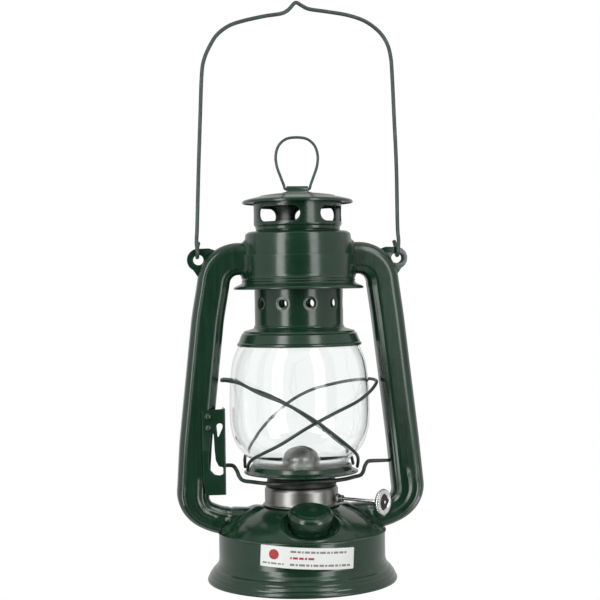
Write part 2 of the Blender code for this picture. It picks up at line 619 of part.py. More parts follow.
def build_bracket(left_tube):
    front = BRACKET_FRONT
    back = front + 1.0
    plate = [(-59.0, 104.0), (-45.0, 105.0), (-45.0, 53.2), (-57.0, 53.2), (-58.6, 60.0), (-59.0, 80.0)]
    bracket = extruded("lever_bracket", plate, front, back, "enamel")
    flange = block("bracket_flange_cutter", (-46.0, front + 0.5, 53.2), (-45.0, 3.6, 105.0), None)
    cut(bracket, flange, "UNION")
    slot = [(-53.4, 90.0), (-52.6, 90.0), (-51.8, 80.0), (-51.2, 74.0), (-49.4, 70.6)]
    slot += arc((-48.2, 67.6), 2.3, 80, -90, 6) + [(-51.4, 65.6), (-54.2, 68.6), (-55.4, 72.4), (-54.8, 80.0)]
    cut(bracket, extruded("lever_slot_cutter", slot, front - 3, back + 3, None))
    drop = arc((-48.6, 94.4), 1.9, -30, 200, 8) + [(-50.0, 88.0), (-49.2, 87.8)]
    cut(bracket, extruded("drop_hole_cutter", drop, front - 3, back + 3, None))
    axis = LIFTER_AXIS_Z
    cut(bracket, cylinder("flange_hole_cutter", (-48, 0, axis), (-43, 0, axis), 1.6, steps=12))
    for name, (x, z) in zip(("bracket_rivet_upper", "bracket_rivet_lower"), BRACKET_RIVETS):
        hole = cylinder(f"{name}_cutter", (x, front - 3, z), (x, -6.0, z), 1.3, steps=10)
        cut(bracket, hole)
        cut(left_tube, hole)
        head = [(0, -2.0), (1.2, -1.8), (2.2, -0.9), (2.3, -GAP), (1.0, -GAP), (1.0, 3.6), (0, 3.6)]
        frame = Matrix.Translation((x, front, z)) @ Matrix.Rotation(-pi / 2, 4, "X")
        turned(name, head, "enamel", 10, frame=frame)


# ---------------------------------------------------------------- burner
def wick_frame():
    """Local frame of the burner: +X along the shaft and the wick's width, +Y to the shaft's side."""
    return Matrix.Rotation(radians(WICK_AZIMUTH - 90), 4, "Z")


def build_burner():
    frame = wick_frame()
    shaft_start = frame @ Vector((14, SHAFT_OFFSET, SHAFT_Z))
    shaft_end = frame @ Vector((30, SHAFT_OFFSET, SHAFT_Z))

    shell_line = [(22.4, 45.8), (22.4, 55.6), (21.8, 57.6), (19.4, 59.6), (18.8, 61.5)]
    burner = turned("burner_shell", shell(shell_line, SHEET), "bare_steel")
    cut(burner, cylinder("shaft_hole_cutter", shaft_start, shaft_end, 1.5, steps=12))

    deck = turned("burner_deck", [(0, 60.2), (17.6, 60.2), (17.6, 61.1), (0, 61.1)], "bare_steel", 20)
    hole = (WICK_TUBE_SIZE[0] / 2 + GAP, WICK_TUBE_SIZE[1] / 2 + GAP)
    cut(deck, block("deck_hole_cutter", (-hole[0], -hole[1], 58), (hole[0], hole[1], 64), None, frame=frame))

    dome_centre = 68.4
    dome = arc((0, dome_centre), 12.6, 90, 0, 6)
    inside = arc((0, dome_centre), 12.6 - SHEET, 0, 90, 6)
    dome[0] = (0, dome[0][1])
    inside[-1] = (0, inside[-1][1])
    flange = [(12.6, 62.4), (17.2, 62.2), (17.2, 61.5), (11.8, 61.5)]
    cone = turned("burner_cone", dome + flange + inside, "bare_steel", 20)
    cut(cone, block("cone_slot_cutter", (-8.6, -2.1, 74), (8.6, 2.1, 84), None, frame=frame))

    half_w, half_t = WICK_TUBE_SIZE[0] / 2, WICK_TUBE_SIZE[1] / 2
    tube = block("wick_tube", (-half_w, -half_t, 40), (half_w, half_t, 74.6), "bare_steel", frame=frame)
    bore_w, bore_t = half_w - WICK_TUBE_WALL, half_t - WICK_TUBE_WALL
    cut(tube, block("wick_bore_cutter", (-bore_w, -bore_t, 38), (bore_w, bore_t, 78), None, frame=frame))
    for i, place in enumerate(SPUR_PLACES):
        low = (place - 1.2, 0, SHAFT_Z - 2.9)
        high = (place + 1.2, half_t + 1, SHAFT_Z + 2.9)
        cut(tube, block(f"spur_window_cutter_{i}", low, high, None, frame=frame))

    turn = frame @ Matrix.Translation((0, SHAFT_OFFSET, SHAFT_Z)) @ Matrix.Rotation(pi / 2, 4, "Y")
    bush = [(1.3, 22.8), (2.8, 22.8), (2.8, 24.0), (2.1, 24.4), (2.1, 27.0), (1.3, 27.0)]
    turned("shaft_bush", bush, "bare_steel", 16, frame=turn)


def build_wick_drive():
    frame = wick_frame()
    middle = frame @ Vector((0, SHAFT_OFFSET, SHAFT_Z))
    drive = axis_empty("wick_drive_axis", middle)
    turn = frame @ Matrix.Translation((0, SHAFT_OFFSET, SHAFT_Z)) @ Matrix.Rotation(pi / 2, 4, "Y")
    shaft = [(0, -8.0), (SHAFT_RADIUS, -8.0), (SHAFT_RADIUS, KNOB_PLACE + 1.6), (0, KNOB_PLACE + 1.6)]
    turned("wick_shaft", shaft, "galvanised", 10, drive, turn)
    for name, place in zip(("spur_wheel_inner", "spur_wheel_outer"), SPUR_PLACES):
        shape = bmesh.new()
        rings = []
        for x in (place - 0.8, place + 0.8):
            tips = []
            bore = []
            for i in range(2 * SPUR_TEETH):
                a = pi * i / SPUR_TEETH
                radius = SPUR_RADIUS if i % 2 else SPUR_RADIUS - 0.7
                tips.append(shape.verts.new((radius * cos(a), radius * sin(a), x)))
                bore.append(shape.verts.new((1.3 * cos(a), 1.3 * sin(a), x)))
            rings += [tips, bore] if x < place else [bore, tips]
        add_ring_faces(shape, rings)
        finish_mesh(name, shape, "bare_steel", drive, turn)
    place = KNOB_PLACE
    rim = KNOB_RADIUS
    knob = [(1.3, place - 1.6), (2.6, place - 1.6), (2.8, place - 0.4), (5.4, place - 0.6),
            (6.6, place - 1.2), (rim, place - 0.9), (rim, place + 0.7), (6.8, place + 1.0),
            (5.6, place + 0.3), (2.8, place + 0.5), (2.4, place + 1.2), (1.3, place + 1.2)]
    turned("wick_knob", knob, "galvanised", 20, drive, turn)

    guide = axis_empty("wick_guide", (0, 0, SHAFT_Z))
    half_w, half_t = WICK_SIZE[0] / 2, WICK_SIZE[1] / 2
    block("wick", (-half_w, -half_t, 20), (half_w, half_t, 77.0), "wick", guide, frame)


def main():
    clear_scene()
    left_tube = air_tube("left_air_tube", -1)
    right_tube = air_tube("right_air_tube", 1)
    tube_cutters = [tube_clearance("left_tube_cutter", -1), tube_clearance("right_tube_cutter", 1)]
    axis = LIFTER_AXIS_Z
    cut(right_tube, cylinder("lifter_hole_cutter", (51, 0, axis), (60, 0, axis), 1.6, steps=12))
    bail_ear("left_bail_ear", -1, tube_cutters[0])
    bail_ear("right_bail_ear", 1, tube_cutters[1])
    build_tank(tube_cutters)
    build_label()
    build_filler_cap()
    build_crown(tube_cutters)
    build_hood()
    build_lifting_ring()
    build_bail()
    build_globe_carrier()
    build_lifter()
    build_bracket(left_tube)
    build_burner()
    build_wick_drive()


main()
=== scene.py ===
"""Looks of the tubular oil lantern: fine surfaces, materials, studio light and camera."""
from math import atan2, cos, exp, hypot, pi, radians, sin, sqrt, tan

import bmesh
import bpy
from mathutils import Matrix, Vector


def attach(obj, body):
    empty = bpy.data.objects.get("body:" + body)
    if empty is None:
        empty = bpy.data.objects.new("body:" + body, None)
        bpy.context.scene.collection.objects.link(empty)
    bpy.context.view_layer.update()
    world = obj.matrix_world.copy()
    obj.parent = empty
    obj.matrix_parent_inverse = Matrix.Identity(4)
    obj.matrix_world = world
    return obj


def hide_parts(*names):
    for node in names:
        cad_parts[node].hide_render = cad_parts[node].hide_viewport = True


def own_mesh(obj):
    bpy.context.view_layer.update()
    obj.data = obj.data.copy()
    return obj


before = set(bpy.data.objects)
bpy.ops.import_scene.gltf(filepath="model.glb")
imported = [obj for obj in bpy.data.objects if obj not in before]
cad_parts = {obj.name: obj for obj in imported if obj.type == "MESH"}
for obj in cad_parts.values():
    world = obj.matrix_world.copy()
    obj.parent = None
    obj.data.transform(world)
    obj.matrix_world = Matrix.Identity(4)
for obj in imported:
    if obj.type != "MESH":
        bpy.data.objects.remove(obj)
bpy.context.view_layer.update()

MM = 0.001
ROUND = 128                 # sides of the large turned pieces
SHEET = 0.7                 # thickness of the pressed steel, millimetres
ON_AXIS = 1e-6              # a smaller radius is a single point on the axis

# camera and studio, in metres and degrees
VIEW_AZIMUTH = -8.0
CAMERA_PLACE = (-0.1194, -0.855, 0.178)
CAMERA_LENS = 84.8
CAMERA_PITCH = -0.49
CAMERA_ROLL = 0.8
SOFTBOX_DISTANCE = 1.05
SOFTBOX_WIDTH = 0.34
FLOOR_RADIUS = 3.0
FLOOR_LEVEL = -0.0004


# ---------------------------------------------------------------- node helpers
class Nodes:
    """Builds the node tree of a new material, or of a new world."""

    def __init__(self, name, world=False):
        self.made = (bpy.data.worlds if world else bpy.data.materials).new(name)
        self.made.use_nodes = True
        self.tree = self.made.node_tree
        self.shader = self.tree.nodes["Background" if world else "Principled BSDF"]
        self.place = self.add("ShaderNodeTexCoord").outputs["Generated" if world else "Object"]

    def add(self, kind, inputs=None, **values):
        """A new node with these settings, its inputs fed by name or by number."""
        node = self.tree.nodes.new(kind)
        for key, value in values.items():
            setattr(node, key, value)
        for key, value in (inputs or {}).items():
            self.feed(node.inputs[key], value)
        return node

    def feed(self, target, value):
        """Give a socket a number, a vector or a colour, or link it to another node's output."""
        if isinstance(value, bpy.types.NodeSocket):
            self.tree.links.new(value, target)
        else:
            target.default_value = (*value, 1.0) if target.type == "RGBA" else value

    def stretch(self, scale):
        return self.add("ShaderNodeMapping", {"Scale": scale, "Vector": self.place}).outputs["Vector"]

    def noise(self, scale, detail=3.0, roughness=0.55, vector=None):
        inputs = {"Scale": scale, "Detail": detail, "Roughness": roughness, "Vector": vector or self.place}
        return self.add("ShaderNodeTexNoise", inputs).outputs["Fac"]

    def ramp(self, factor, stops):
        node = self.add("ShaderNodeValToRGB", {"Fac": factor})
        for element, (place, colour) in zip(node.color_ramp.elements, stops):
            element.position = place
            element.color = (*colour, 1.0)
        return node.outputs["Color"]

    def fade(self, factor, low, high):
        """Black where the factor is under low, white where it is over high."""
        return self.ramp(factor, [(low, (0, 0, 0)), (high, (1, 1, 1))])

    def mix(self, factor, first, second):
        node = self.add("ShaderNodeMix", data_type="RGBA", blend_type="MIX")
        for name, value in (("Factor", factor), ("A", first), ("B", second)):
            self.feed(next(s for s in node.inputs if s.name == name and s.enabled), value)
        return next(s for s in node.outputs if s.name == "Result" and s.enabled)

    def math(self, operation, first, second, clamp=False):
        node = self.add("ShaderNodeMath", {0: first, 1: second}, operation=operation, use_clamp=clamp)
        return node.outputs[0]

    def spread(self, factor, low, high):
        """Map a factor from 0..1 to low..high."""
        node = self.add("ShaderNodeMapRange", {"To Min": low, "To Max": high, "Value": factor})
        return node.outputs["Result"]

    def bump(self, height, strength, distance, normal=None):
        inputs = {"Strength": strength, "Distance": distance, "Height": height}
        if normal:
            inputs["Normal"] = normal
        return self.add("ShaderNodeBump", inputs).outputs["Normal"]

    def edge_wear_and_highlight(self, low, high):
        """0 on flats and 1 on sharp outer edges, from the mesh's pointiness."""
        return self.fade(self.add("ShaderNodeNewGeometry").outputs["Pointiness"], low, high)

    def put(self, socket, value):
        self.feed(self.shader.inputs[socket], value)


# ---------------------------------------------------------------- materials
def enamel(name, dark=(0.0044, 0.0265, 0.0122), light=(0.0076, 0.0385, 0.0192), ripple=1.0,
           stretch=(38.0, 38.0, 38.0)):
    """Glossy stoved enamel on thin sheet: slight ripple, orange peel, thin paint on edges, whose lighter tone
    there is partly wear and partly a painted highlight.

    stretch is the scale of its patches of tone along X, Y and Z.
    """
    n = Nodes(name)
    patches = n.fade(n.noise(1.0, 4.0, 0.6, n.stretch(stretch)), 0.32, 0.68)
    colour = n.mix(patches, dark, light)
    # sharp edges are painted lighter: partly wear of the thin paint, partly a painted highlight along the
    # edges
    worn_and_highlit_edges = n.math("MULTIPLY", n.edge_wear_and_highlight(0.53, 0.62), n.noise(900.0, 2.0), clamp=True)
    colour = n.mix(worn_and_highlit_edges, colour, (0.07, 0.13, 0.10))
    specks = n.fade(n.noise(2600.0, 1.0), 0.70, 0.78)
    n.put("Base Color", n.mix(n.math("MULTIPLY", specks, 0.10), colour, (0.05, 0.10, 0.075)))
    n.put("Roughness", n.spread(n.noise(160.0, 4.0), 0.15, 0.29))
    n.put("Specular IOR Level", 0.5)
    n.put("Coat Weight", 0.25)
    n.put("Coat Roughness", 0.12)
    waves = n.bump(n.noise(55.0, 2.0), 0.07 * ripple, 0.0012)
    n.put("Normal", n.bump(n.noise(1500.0, 2.0), 0.05, 0.00012, waves))
    return n.made


def wire_enamel(name, low=(0.030, 0.052, 0.042), high=(0.050, 0.078, 0.066)):
    """Thin satin enamel on drawn wire, rubbed to grey metal in places."""
    n = Nodes(name)
    rubbed = n.fade(n.noise(120.0, 2.0), 0.50, 0.75)
    colour = n.mix(n.noise(60.0), low, high)
    n.put("Base Color", n.mix(n.math("MULTIPLY", rubbed, 0.25), colour, (0.15, 0.17, 0.16)))
    n.put("Metallic", n.math("MULTIPLY", rubbed, 0.20))
    n.put("Roughness", n.spread(n.noise(300.0), 0.30, 0.48))
    n.put("Normal", n.bump(n.noise(500.0, 2.0), 0.08, 0.00006))
    return n.made


def turned_steel(name, colour=(0.30, 0.302, 0.290), dull=0.27, stretch=(60.0, 60.0, 2600.0)):
    """Dull plated steel with fine marks round the piece and a few stains."""
    n = Nodes(name)
    marks = n.noise(1.0, 4.0, 0.65, n.stretch(stretch))
    stains = n.fade(n.noise(130.0, 5.0, 0.6), 0.35, 0.70)
    low, high, stained = (tuple(c * share for c in colour) for share in (0.80, 1.12, 0.62))
    n.put("Base Color", n.mix(n.math("MULTIPLY", stains, 0.30), n.mix(marks, low, high), stained))
    n.put("Metallic", 1.0)
    n.put("Roughness", n.spread(marks, dull, dull + 0.16))
    n.put("Normal", n.bump(marks, 0.12, 0.0001))
    return n.made


def galvanised(name):
    """Bright zinc: small spangle patches with slightly different gloss."""
    n = Nodes(name)
    cells = n.add("ShaderNodeTexVoronoi", {"Scale": 650.0, "Vector": n.place})
    tone = n.ramp(cells.outputs["Color"], [(0.0, (0.70, 0.71, 0.73)), (1.0, (0.88, 0.89, 0.90))])
    n.put("Base Color", tone)
    n.put("Metallic", 1.0)
    n.put("Roughness", n.spread(n.noise(500.0), 0.16, 0.32))
    n.put("Normal", n.bump(n.noise(900.0), 0.10, 0.0001))
    return n.made


def glass(name):
    """Clear blown glass with faint unevenness, ground dull in a band at its foot."""
    n = Nodes(name)
    n.put("Base Color", n.mix(n.noise(25.0), (0.958, 0.975, 0.971), (0.968, 0.983, 0.979)))
    n.put("Transmission Weight", 1.0)
    n.put("IOR", 1.47)
    height = n.add("ShaderNodeSeparateXYZ", {0: n.place}).outputs["Z"]
    ground = n.add("ShaderNodeMapRange", {
        "Value": height, "From Min": 0.0715, "From Max": 0.0765, "To Min": 0.32, "To Max": 0.0})
    n.put("Roughness", n.math("ADD", ground.outputs["Result"], n.spread(n.noise(80.0), 0.0, 0.015)))
    n.put("Normal", n.bump(n.noise(28.0, 1.0), 0.02, 0.001))
    return n.made


def cotton(name):
    """Flat woven wick: ribs along its length, picks across."""
    n = Nodes(name)
    rib = n.noise(1.0, 1.0, 0.5, n.stretch((1500.0, 1500.0, 90.0)))
    pick = n.noise(1.0, 1.0, 0.5, n.stretch((200.0, 200.0, 1300.0)))
    weave = n.math("MULTIPLY", rib, pick)
    n.put("Base Color", n.mix(weave, (0.60, 0.54, 0.42), (0.93, 0.89, 0.78)))
    n.put("Roughness", 0.92)
    n.put("Sheen Weight", 0.3)
    n.put("Normal", n.bump(weave, 0.8, 0.0003))
    return n.made


def matt(name, low, high, roughness, scale=300.0, relief=0.2):
    """A dull surface of two close tones: rubber, paper or ink."""
    n = Nodes(name)
    n.put("Base Color", n.mix(n.noise(scale, 4.0), low, high))
    n.put("Roughness", n.spread(n.noise(scale * 1.7), roughness, roughness + 0.12))
    n.put("Normal", n.bump(n.noise(scale * 4.0), relief, 0.0001))
    return n.made


GREEN = enamel("enamel_green")
GREEN_TUBE = enamel("enamel_tube", (0.0040, 0.0240, 0.0110), (0.0110, 0.0450, 0.0240), 0.5,
                    (230.0, 230.0, 16.0))
WIRE = wire_enamel("enamel_wire")
WIRE_DARK = wire_enamel("enamel_wire_dark", (0.012, 0.028, 0.020), (0.024, 0.046, 0.035))
BURNER = turned_steel("burner_steel")
BURNER_DARK = turned_steel("burner_steel_dark", (0.20, 0.19, 0.18), 0.36)
# painted shade: a darkened copy of the steel, for the burner gallery under the globe plate and the knob's
# recessed web
SHADE_DARKENED_STEEL = ((0.075, 0.072, 0.070), 0.42)
GALLERY_STEEL = turned_steel("gallery_steel", *SHADE_DARKENED_STEEL)
WEB_STEEL = turned_steel("knob_web_steel", *SHADE_DARKENED_STEEL)
ZINC = galvanised("galvanised")
SPRING = turned_steel("spring_steel", (0.40, 0.40, 0.41), 0.28, (900.0, 900.0, 900.0))
GLASS = glass("clear_glass")
COTTON = cotton("cotton_wick")
RUBBER = matt("seal_rubber", (0.02, 0.018, 0.016), (0.05, 0.045, 0.04), 0.7)
PAPER = matt("label_paper", (0.84, 0.86, 0.83), (0.92, 0.93, 0.91), 0.32, 120.0, 0.05)
INK_GREY = matt("ink_grey", (0.20, 0.20, 0.20), (0.30, 0.30, 0.30), 0.45, 900.0, 0.05)
INK_RED = matt("ink_red", (0.38, 0.02, 0.025), (0.50, 0.045, 0.05), 0.40, 900.0, 0.05)


# ---------------------------------------------------------------- geometry helpers (millimetres)
def settle(piece, finish, body, replaced):
    """Give a finished piece its material and body, and hide the CAD nodes it stands for."""
    piece.data.materials.clear()
    piece.data.materials.append(finish)
    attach(piece, body)
    if replaced:
        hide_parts(*replaced)
    return piece


def from_bmesh(name, shape, smooth=38.0):
    """Turn a shape in millimetres into a piece, with edges sharper than smooth degrees kept sharp."""
    bmesh.ops.remove_doubles(shape, verts=shape.verts, dist=1e-5)
    bmesh.ops.recalc_face_normals(shape, faces=shape.faces)
    shape.transform(Matrix.Scale(MM, 4))
    mesh = bpy.data.meshes.new(name)
    shape.to_mesh(mesh)
    shape.free()
    mesh.shade_smooth()
    mesh.set_sharp_from_angle(angle=radians(smooth))
    piece = bpy.data.objects.new(name, mesh)
    bpy.context.scene.collection.objects.link(piece)
    return piece


def arc(centre, radius, start, end, steps):
    """Points on an arc, angles in degrees."""
    angles = [radians(start + (end - start) * i / steps) for i in range(steps + 1)]
    return [(centre[0] + radius * cos(a), centre[1] + radius * sin(a)) for a in angles]


def rounded(points, steps, closed=False):
    """A line of (x, y, corner radius) points with its corners rounded."""
    line = []
    count = len(points)
    for i, point in enumerate(points):
        here = Vector(point[:2])
        radius = point[2] if len(point) > 2 else 0.0
        inside = closed or 0 < i < count - 1
        if not radius or not inside:
            line.append(tuple(here))
            continue
        before = Vector(points[i - 1][:2]) - here
        after = Vector(points[(i + 1) % count][:2]) - here
        half = before.angle(after) / 2
        reach = min(radius / tan(half), before.length * 0.49, after.length * 0.49)
        start = here + before.normalized() * reach
        end = here + after.normalized() * reach
        for step in range(steps + 1):
            t = step / steps
            line.append(tuple(start * (1 - t) ** 2 + here * 2 * t * (1 - t) + end * t * t))
    return line


def sheet_outline(outer, thickness=SHEET):
    """Close a line into a sheet to its left, with rounded ends."""
    points = [Vector(p) for p in outer]
    inner = []
    for i, point in enumerate(points):
        before = (point - points[i - 1]).normalized() if i else None
        after = (points[i + 1] - point).normalized() if i + 1 < len(points) else None
        before, after = before or after, after or before
        normals = [Vector((-d.y, d.x)) for d in (before, after)]
        mitre = (normals[0] + normals[1]).normalized()
        inner.append(point + mitre * thickness / max(mitre.dot(normals[0]), 0.6))
    outline = list(points)
    for last, other in ((points[-1], inner[-1]), (inner[0], points[0])):
        middle = (last + other) / 2
        outline += [middle + Matrix.Rotation(pi * k / 4, 2) @ (last - middle) for k in (1, 2, 3)]
        if last is points[-1]:
            outline += reversed(inner)
    return [tuple(p) for p in outline]


def subdivided(line, step, above=0.0):
    """The line with its stretches that start above a height cut into parts of about step."""
    fine = []
    for (r0, z0), (r1, z1) in zip(line, line[1:]):
        parts = max(1, int(hypot(r1 - r0, z1 - z0) / step)) if z0 > above else 1
        fine += [(r0 + (r1 - r0) * i / parts, z0 + (z1 - z0) * i / parts) for i in range(parts)]
    return fine + [line[-1]]


def turned_ring(shape, radius, height, steps):
    """New points of the shape on a level circle about Z."""
    angles = [2 * pi * i / steps for i in range(steps)]
    return [shape.verts.new((radius * cos(a), radius * sin(a), height)) for a in angles]


def bridge(shape, rings, closed):
    """Quads between neighbouring rings, where a ring may be a single point on the axis."""
    pairs = list(zip(rings, rings[1:])) + ([(rings[-1], rings[0])] if closed else [])
    for low, high in pairs:
        count = max(len(low), len(high))
        for i in range(count if count > 1 else 0):
            j = (i + 1) % count
            corners = [low[i % len(low)], low[j % len(low)], high[j % len(high)], high[i % len(high)]]
            unique = list(dict.fromkeys(corners))
            if len(unique) > 2:
                shape.faces.new(unique)


def lathe(name, outline, finish, body, replaced=(), steps=ROUND, change=None, place=None):
    """A closed outline of (radius, height) turned about Z. change moves each finished point."""
    shape = bmesh.new()
    rings = []
    for radius, height in outline:
        if radius < ON_AXIS:
            rings.append([shape.verts.new((0, 0, height))])
        else:
            rings.append(turned_ring(shape, radius, height, steps))
    capped = outline[0][0] < ON_AXIS and outline[-1][0] < ON_AXIS
    bridge(shape, rings, not capped)
    if change:
        for vert in shape.verts:
            vert.co = change(vert.co)
    if place:
        shape.transform(place)
    return settle(from_bmesh(name, shape), finish, body, replaced)


def smooth_path(points, per_span=8):
    """Catmull-Rom points through the given points."""
    anchors = [Vector(p) for p in points]
    anchors = [2 * anchors[0] - anchors[1], *anchors, 2 * anchors[-1] - anchors[-2]]
    path = []
    for before, start, end, after in zip(anchors, anchors[1:], anchors[2:], anchors[3:]):
        for step in range(per_span):
            t = step / per_span
            linear = (end - before) * t
            square = (2 * before - 5 * start + 4 * end - after) * t * t
            cubic = (3 * start - before - 3 * end + after) * t * t * t
            path.append(start + (linear + square + cubic) / 2)
    path.append(anchors[-2])
    return path


def wire(name, path, radius, finish, body, replaced, sides=14):
    """A round wire with rounded ends, as a mesh swept along a dense path."""
    points = [Vector(p) for p in path]
    shape = bmesh.new()
    rings = []
    tangent = (points[1] - points[0]).normalized()
    across = tangent.orthogonal().normalized()
    for i, point in enumerate(points):
        ahead = points[min(i + 1, len(points) - 1)]
        behind = points[max(i - 1, 0)]
        tangent = (ahead - behind).normalized()
        across = (across - tangent * across.dot(tangent)).normalized()
        other = tangent.cross(across)
        at_end = i in (0, len(points) - 1)
        if i == 0:
            rings.append([shape.verts.new(point - tangent * radius * 0.35)])
        size = radius * (0.82 if at_end else 1.0)
        ring = []
        for k in range(sides):
            a = 2 * pi * k / sides
            ring.append(shape.verts.new(point + (across * cos(a) + other * sin(a)) * size))
        rings.append(ring)
        if i == len(points) - 1:
            rings.append([shape.verts.new(point + tangent * radius * 0.35)])
    bridge(shape, rings, False)
    return settle(from_bmesh(name, shape, 60), finish, body, replaced)


def around(azimuth, radius, height=0.0):
    """A point at an azimuth in degrees from the front towards +X."""
    return (radius * sin(radians(azimuth)), -radius * cos(radians(azimuth)), height)


def pierced(name, upper, lower, hole, turn, count, finish, body, replaced,
            across=12, tall=8, dimple=0.0):
    """A turned sheet with a row of holes. upper and lower run from its outer face round to its inner face.

    hole is (half length between the centres of its round ends, radius of the ends); turn is the
    azimuth of the first hole. across and tall are the points along a hole's cell. The sheet is sunk
    by dimple at the rim of each hole.
    """
    shape = bmesh.new()
    steps = count * across
    cell = 360.0 / count
    for chain in (upper, lower):
        rings = []
        for radius, height in chain:
            azimuths = [turn + cell * (i / across - 0.5) for i in range(steps)]
            rings.append([shape.verts.new(around(a, radius, height)) for a in azimuths])
        bridge(shape, rings, False)
    faces = [(Vector(lower[index]), Vector(upper[index])) for index in (0, -1)]
    reach, bend = hole
    middle_radius = (faces[0][0].x + faces[0][1].x) / 2
    half_wide = middle_radius * radians(cell / 2)
    half_tall = (faces[0][1] - faces[0][0]).length / 2
    rim = [(2 * i / across - 1, -1) for i in range(across)]
    rim += [(1, 2 * i / tall - 1) for i in range(tall)]
    rim += [(1 - 2 * i / across, 1) for i in range(across)]
    rim += [(-1, 1 - 2 * i / tall) for i in range(tall)]
    levels = [0.0, 0.25, 0.45, 0.62, 0.76, 0.87, 0.95, 1.0]
    for k in range(count):
        middle = turn + cell * k
        rings = []
        for (low, high), order in zip(faces, (levels, levels[::-1])):
            for level in order:
                ring = []
                for u, v in rim:
                    point = Vector((u * half_wide, v * half_tall))
                    centre = Vector((max(-reach, min(reach, point.x)), 0))
                    edge = centre + (point - centre).normalized() * bend
                    place = point.lerp(edge, level)
                    share = place.y / half_tall / 2 + 0.5
                    line = low.lerp(high, share)
                    wide = u * cell / 2
                    edge_wide = edge.x / low.lerp(high, edge.y / half_tall / 2 + 0.5).x * 180 / pi
                    azimuth = middle + wide + (edge_wide - wide) * level
                    sunk = dimple * bead((place - edge).length, 0.9)
                    ring.append(shape.verts.new(around(azimuth, line.x - sunk, line.y)))
                rings.append(ring)
        bridge(shape, rings, False)
    return settle(from_bmesh(name, shape), finish, body, replaced)


def thicken(shape, thickness):
    """Give an open surface, its faces pointing outwards, an inner side, and close its edges."""
    bmesh.ops.remove_doubles(shape, verts=shape.verts, dist=1e-4)
    shape.normal_update()
    faces = list(shape.faces)
    borders = [edge for edge in shape.edges if edge.is_boundary]
    inner = {vert: shape.verts.new(vert.co - vert.normal * thickness) for vert in list(shape.verts)}
    for face in faces:
        shape.faces.new([inner[vert] for vert in reversed(face.verts)])
    for edge in borders:
        first, second = edge.verts
        shape.faces.new((first, second, inner[second], inner[first]))


def slice_x(shape, places):
    """Add edges where the shape crosses each x, so that it can bend there."""
    for x in places:
        geometry = list(shape.verts) + list(shape.edges) + list(shape.faces)
        bmesh.ops.bisect_plane(shape, geom=geometry, dist=1e-5, plane_co=(x, 0, 0), plane_no=(1, 0, 0))


def flat_shape(outlines, low, high, edge):
    """A flat plate in the XZ plane with rounded edges, as a bmesh: the first outline is its rim."""
    curve = bpy.data.curves.new("plate_outline", "CURVE")
    curve.dimensions = "2D"
    curve.fill_mode = "BOTH"
    curve.extrude = ((high - low) / 2 - edge) * MM
    curve.bevel_depth = edge * MM
    curve.bevel_resolution = 2
    curve.offset = -edge * MM
    for outline in outlines:
        spline = curve.splines.new("POLY")
        spline.points.add(len(outline) - 1)
        spline.use_cyclic_u = True
        for target, (x, z) in zip(spline.points, outline):
            target.co = (x * MM, z * MM, 0, 1)
    source = bpy.data.objects.new("plate_outline", curve)
    bpy.context.scene.collection.objects.link(source)
    mesh = bpy.data.meshes.new_from_object(source.evaluated_get(bpy.context.evaluated_depsgraph_get()))
    bpy.data.objects.remove(source)
    shape = bmesh.new()
    shape.from_mesh(mesh)
    bpy.data.meshes.remove(mesh)
    shape.transform(Matrix.Scale(1 / MM, 4))
    bmesh.ops.remove_doubles(shape, verts=shape.verts, dist=1e-4)
    stand = Matrix.Translation((0, (low + high) / 2, 0)) @ Matrix.Rotation(pi / 2, 4, "X")
    shape.transform(stand)
    return shape


def plate(name, outlines, low, high, finish, body, replaced, edge, place=None):
    """A flat plate in the XZ plane, from y low to y high, moved by place."""
    shape = flat_shape(outlines, low, high, edge)
    if place:
        shape.transform(place)
    return settle(from_bmesh(name, shape), finish, body, replaced)


def wrapped(name, outlines, radius, thickness, middle, finish, body, replaced=()):
    """A thin plate wrapped round a cylinder about Z: outlines in (distance round, z)."""
    shape = flat_shape(outlines, -thickness, 0, 0.04)
    reach = max(abs(v.co.x) for v in shape.verts)
    count = int(2 * reach / 1.2)     # an edge about every 1.2 mm, to bend at
    slice_x(shape, [reach * (2 * i / count - 1) for i in range(1, count)])
    for vert in shape.verts:
        azimuth = middle + vert.co.x / radius * 180 / pi
        vert.co = around(azimuth, radius - vert.co.y, vert.co.z)
    return settle(from_bmesh(name, shape), finish, body, replaced)


def box_distance(a, b, half_a, half_b, corner):
    """Distance from a point to a rounded rectangle round the origin, negative inside."""
    x = abs(a) - half_a + corner
    y = abs(b) - half_b + corner
    return hypot(max(x, 0), max(y, 0)) + min(max(x, y), 0) - corner


def ease(x):
    """A smooth step from 0 to 1."""
    x = max(0.0, min(1.0, x))
    return x * x * (3 - 2 * x)


# ---------------------------------------------------------------- air tubes
TUBE_HALF_DEPTH = 9.75
TUBE_HALF_WIDTH = 8.5
TUBE_CORNER = 6.0
TUBE_TOP = 196.0
TUBE_FOOT_SCALE = 0.84
FOOT_SLOPE = 25.0
FOOT_END_SLOPE = 3.0


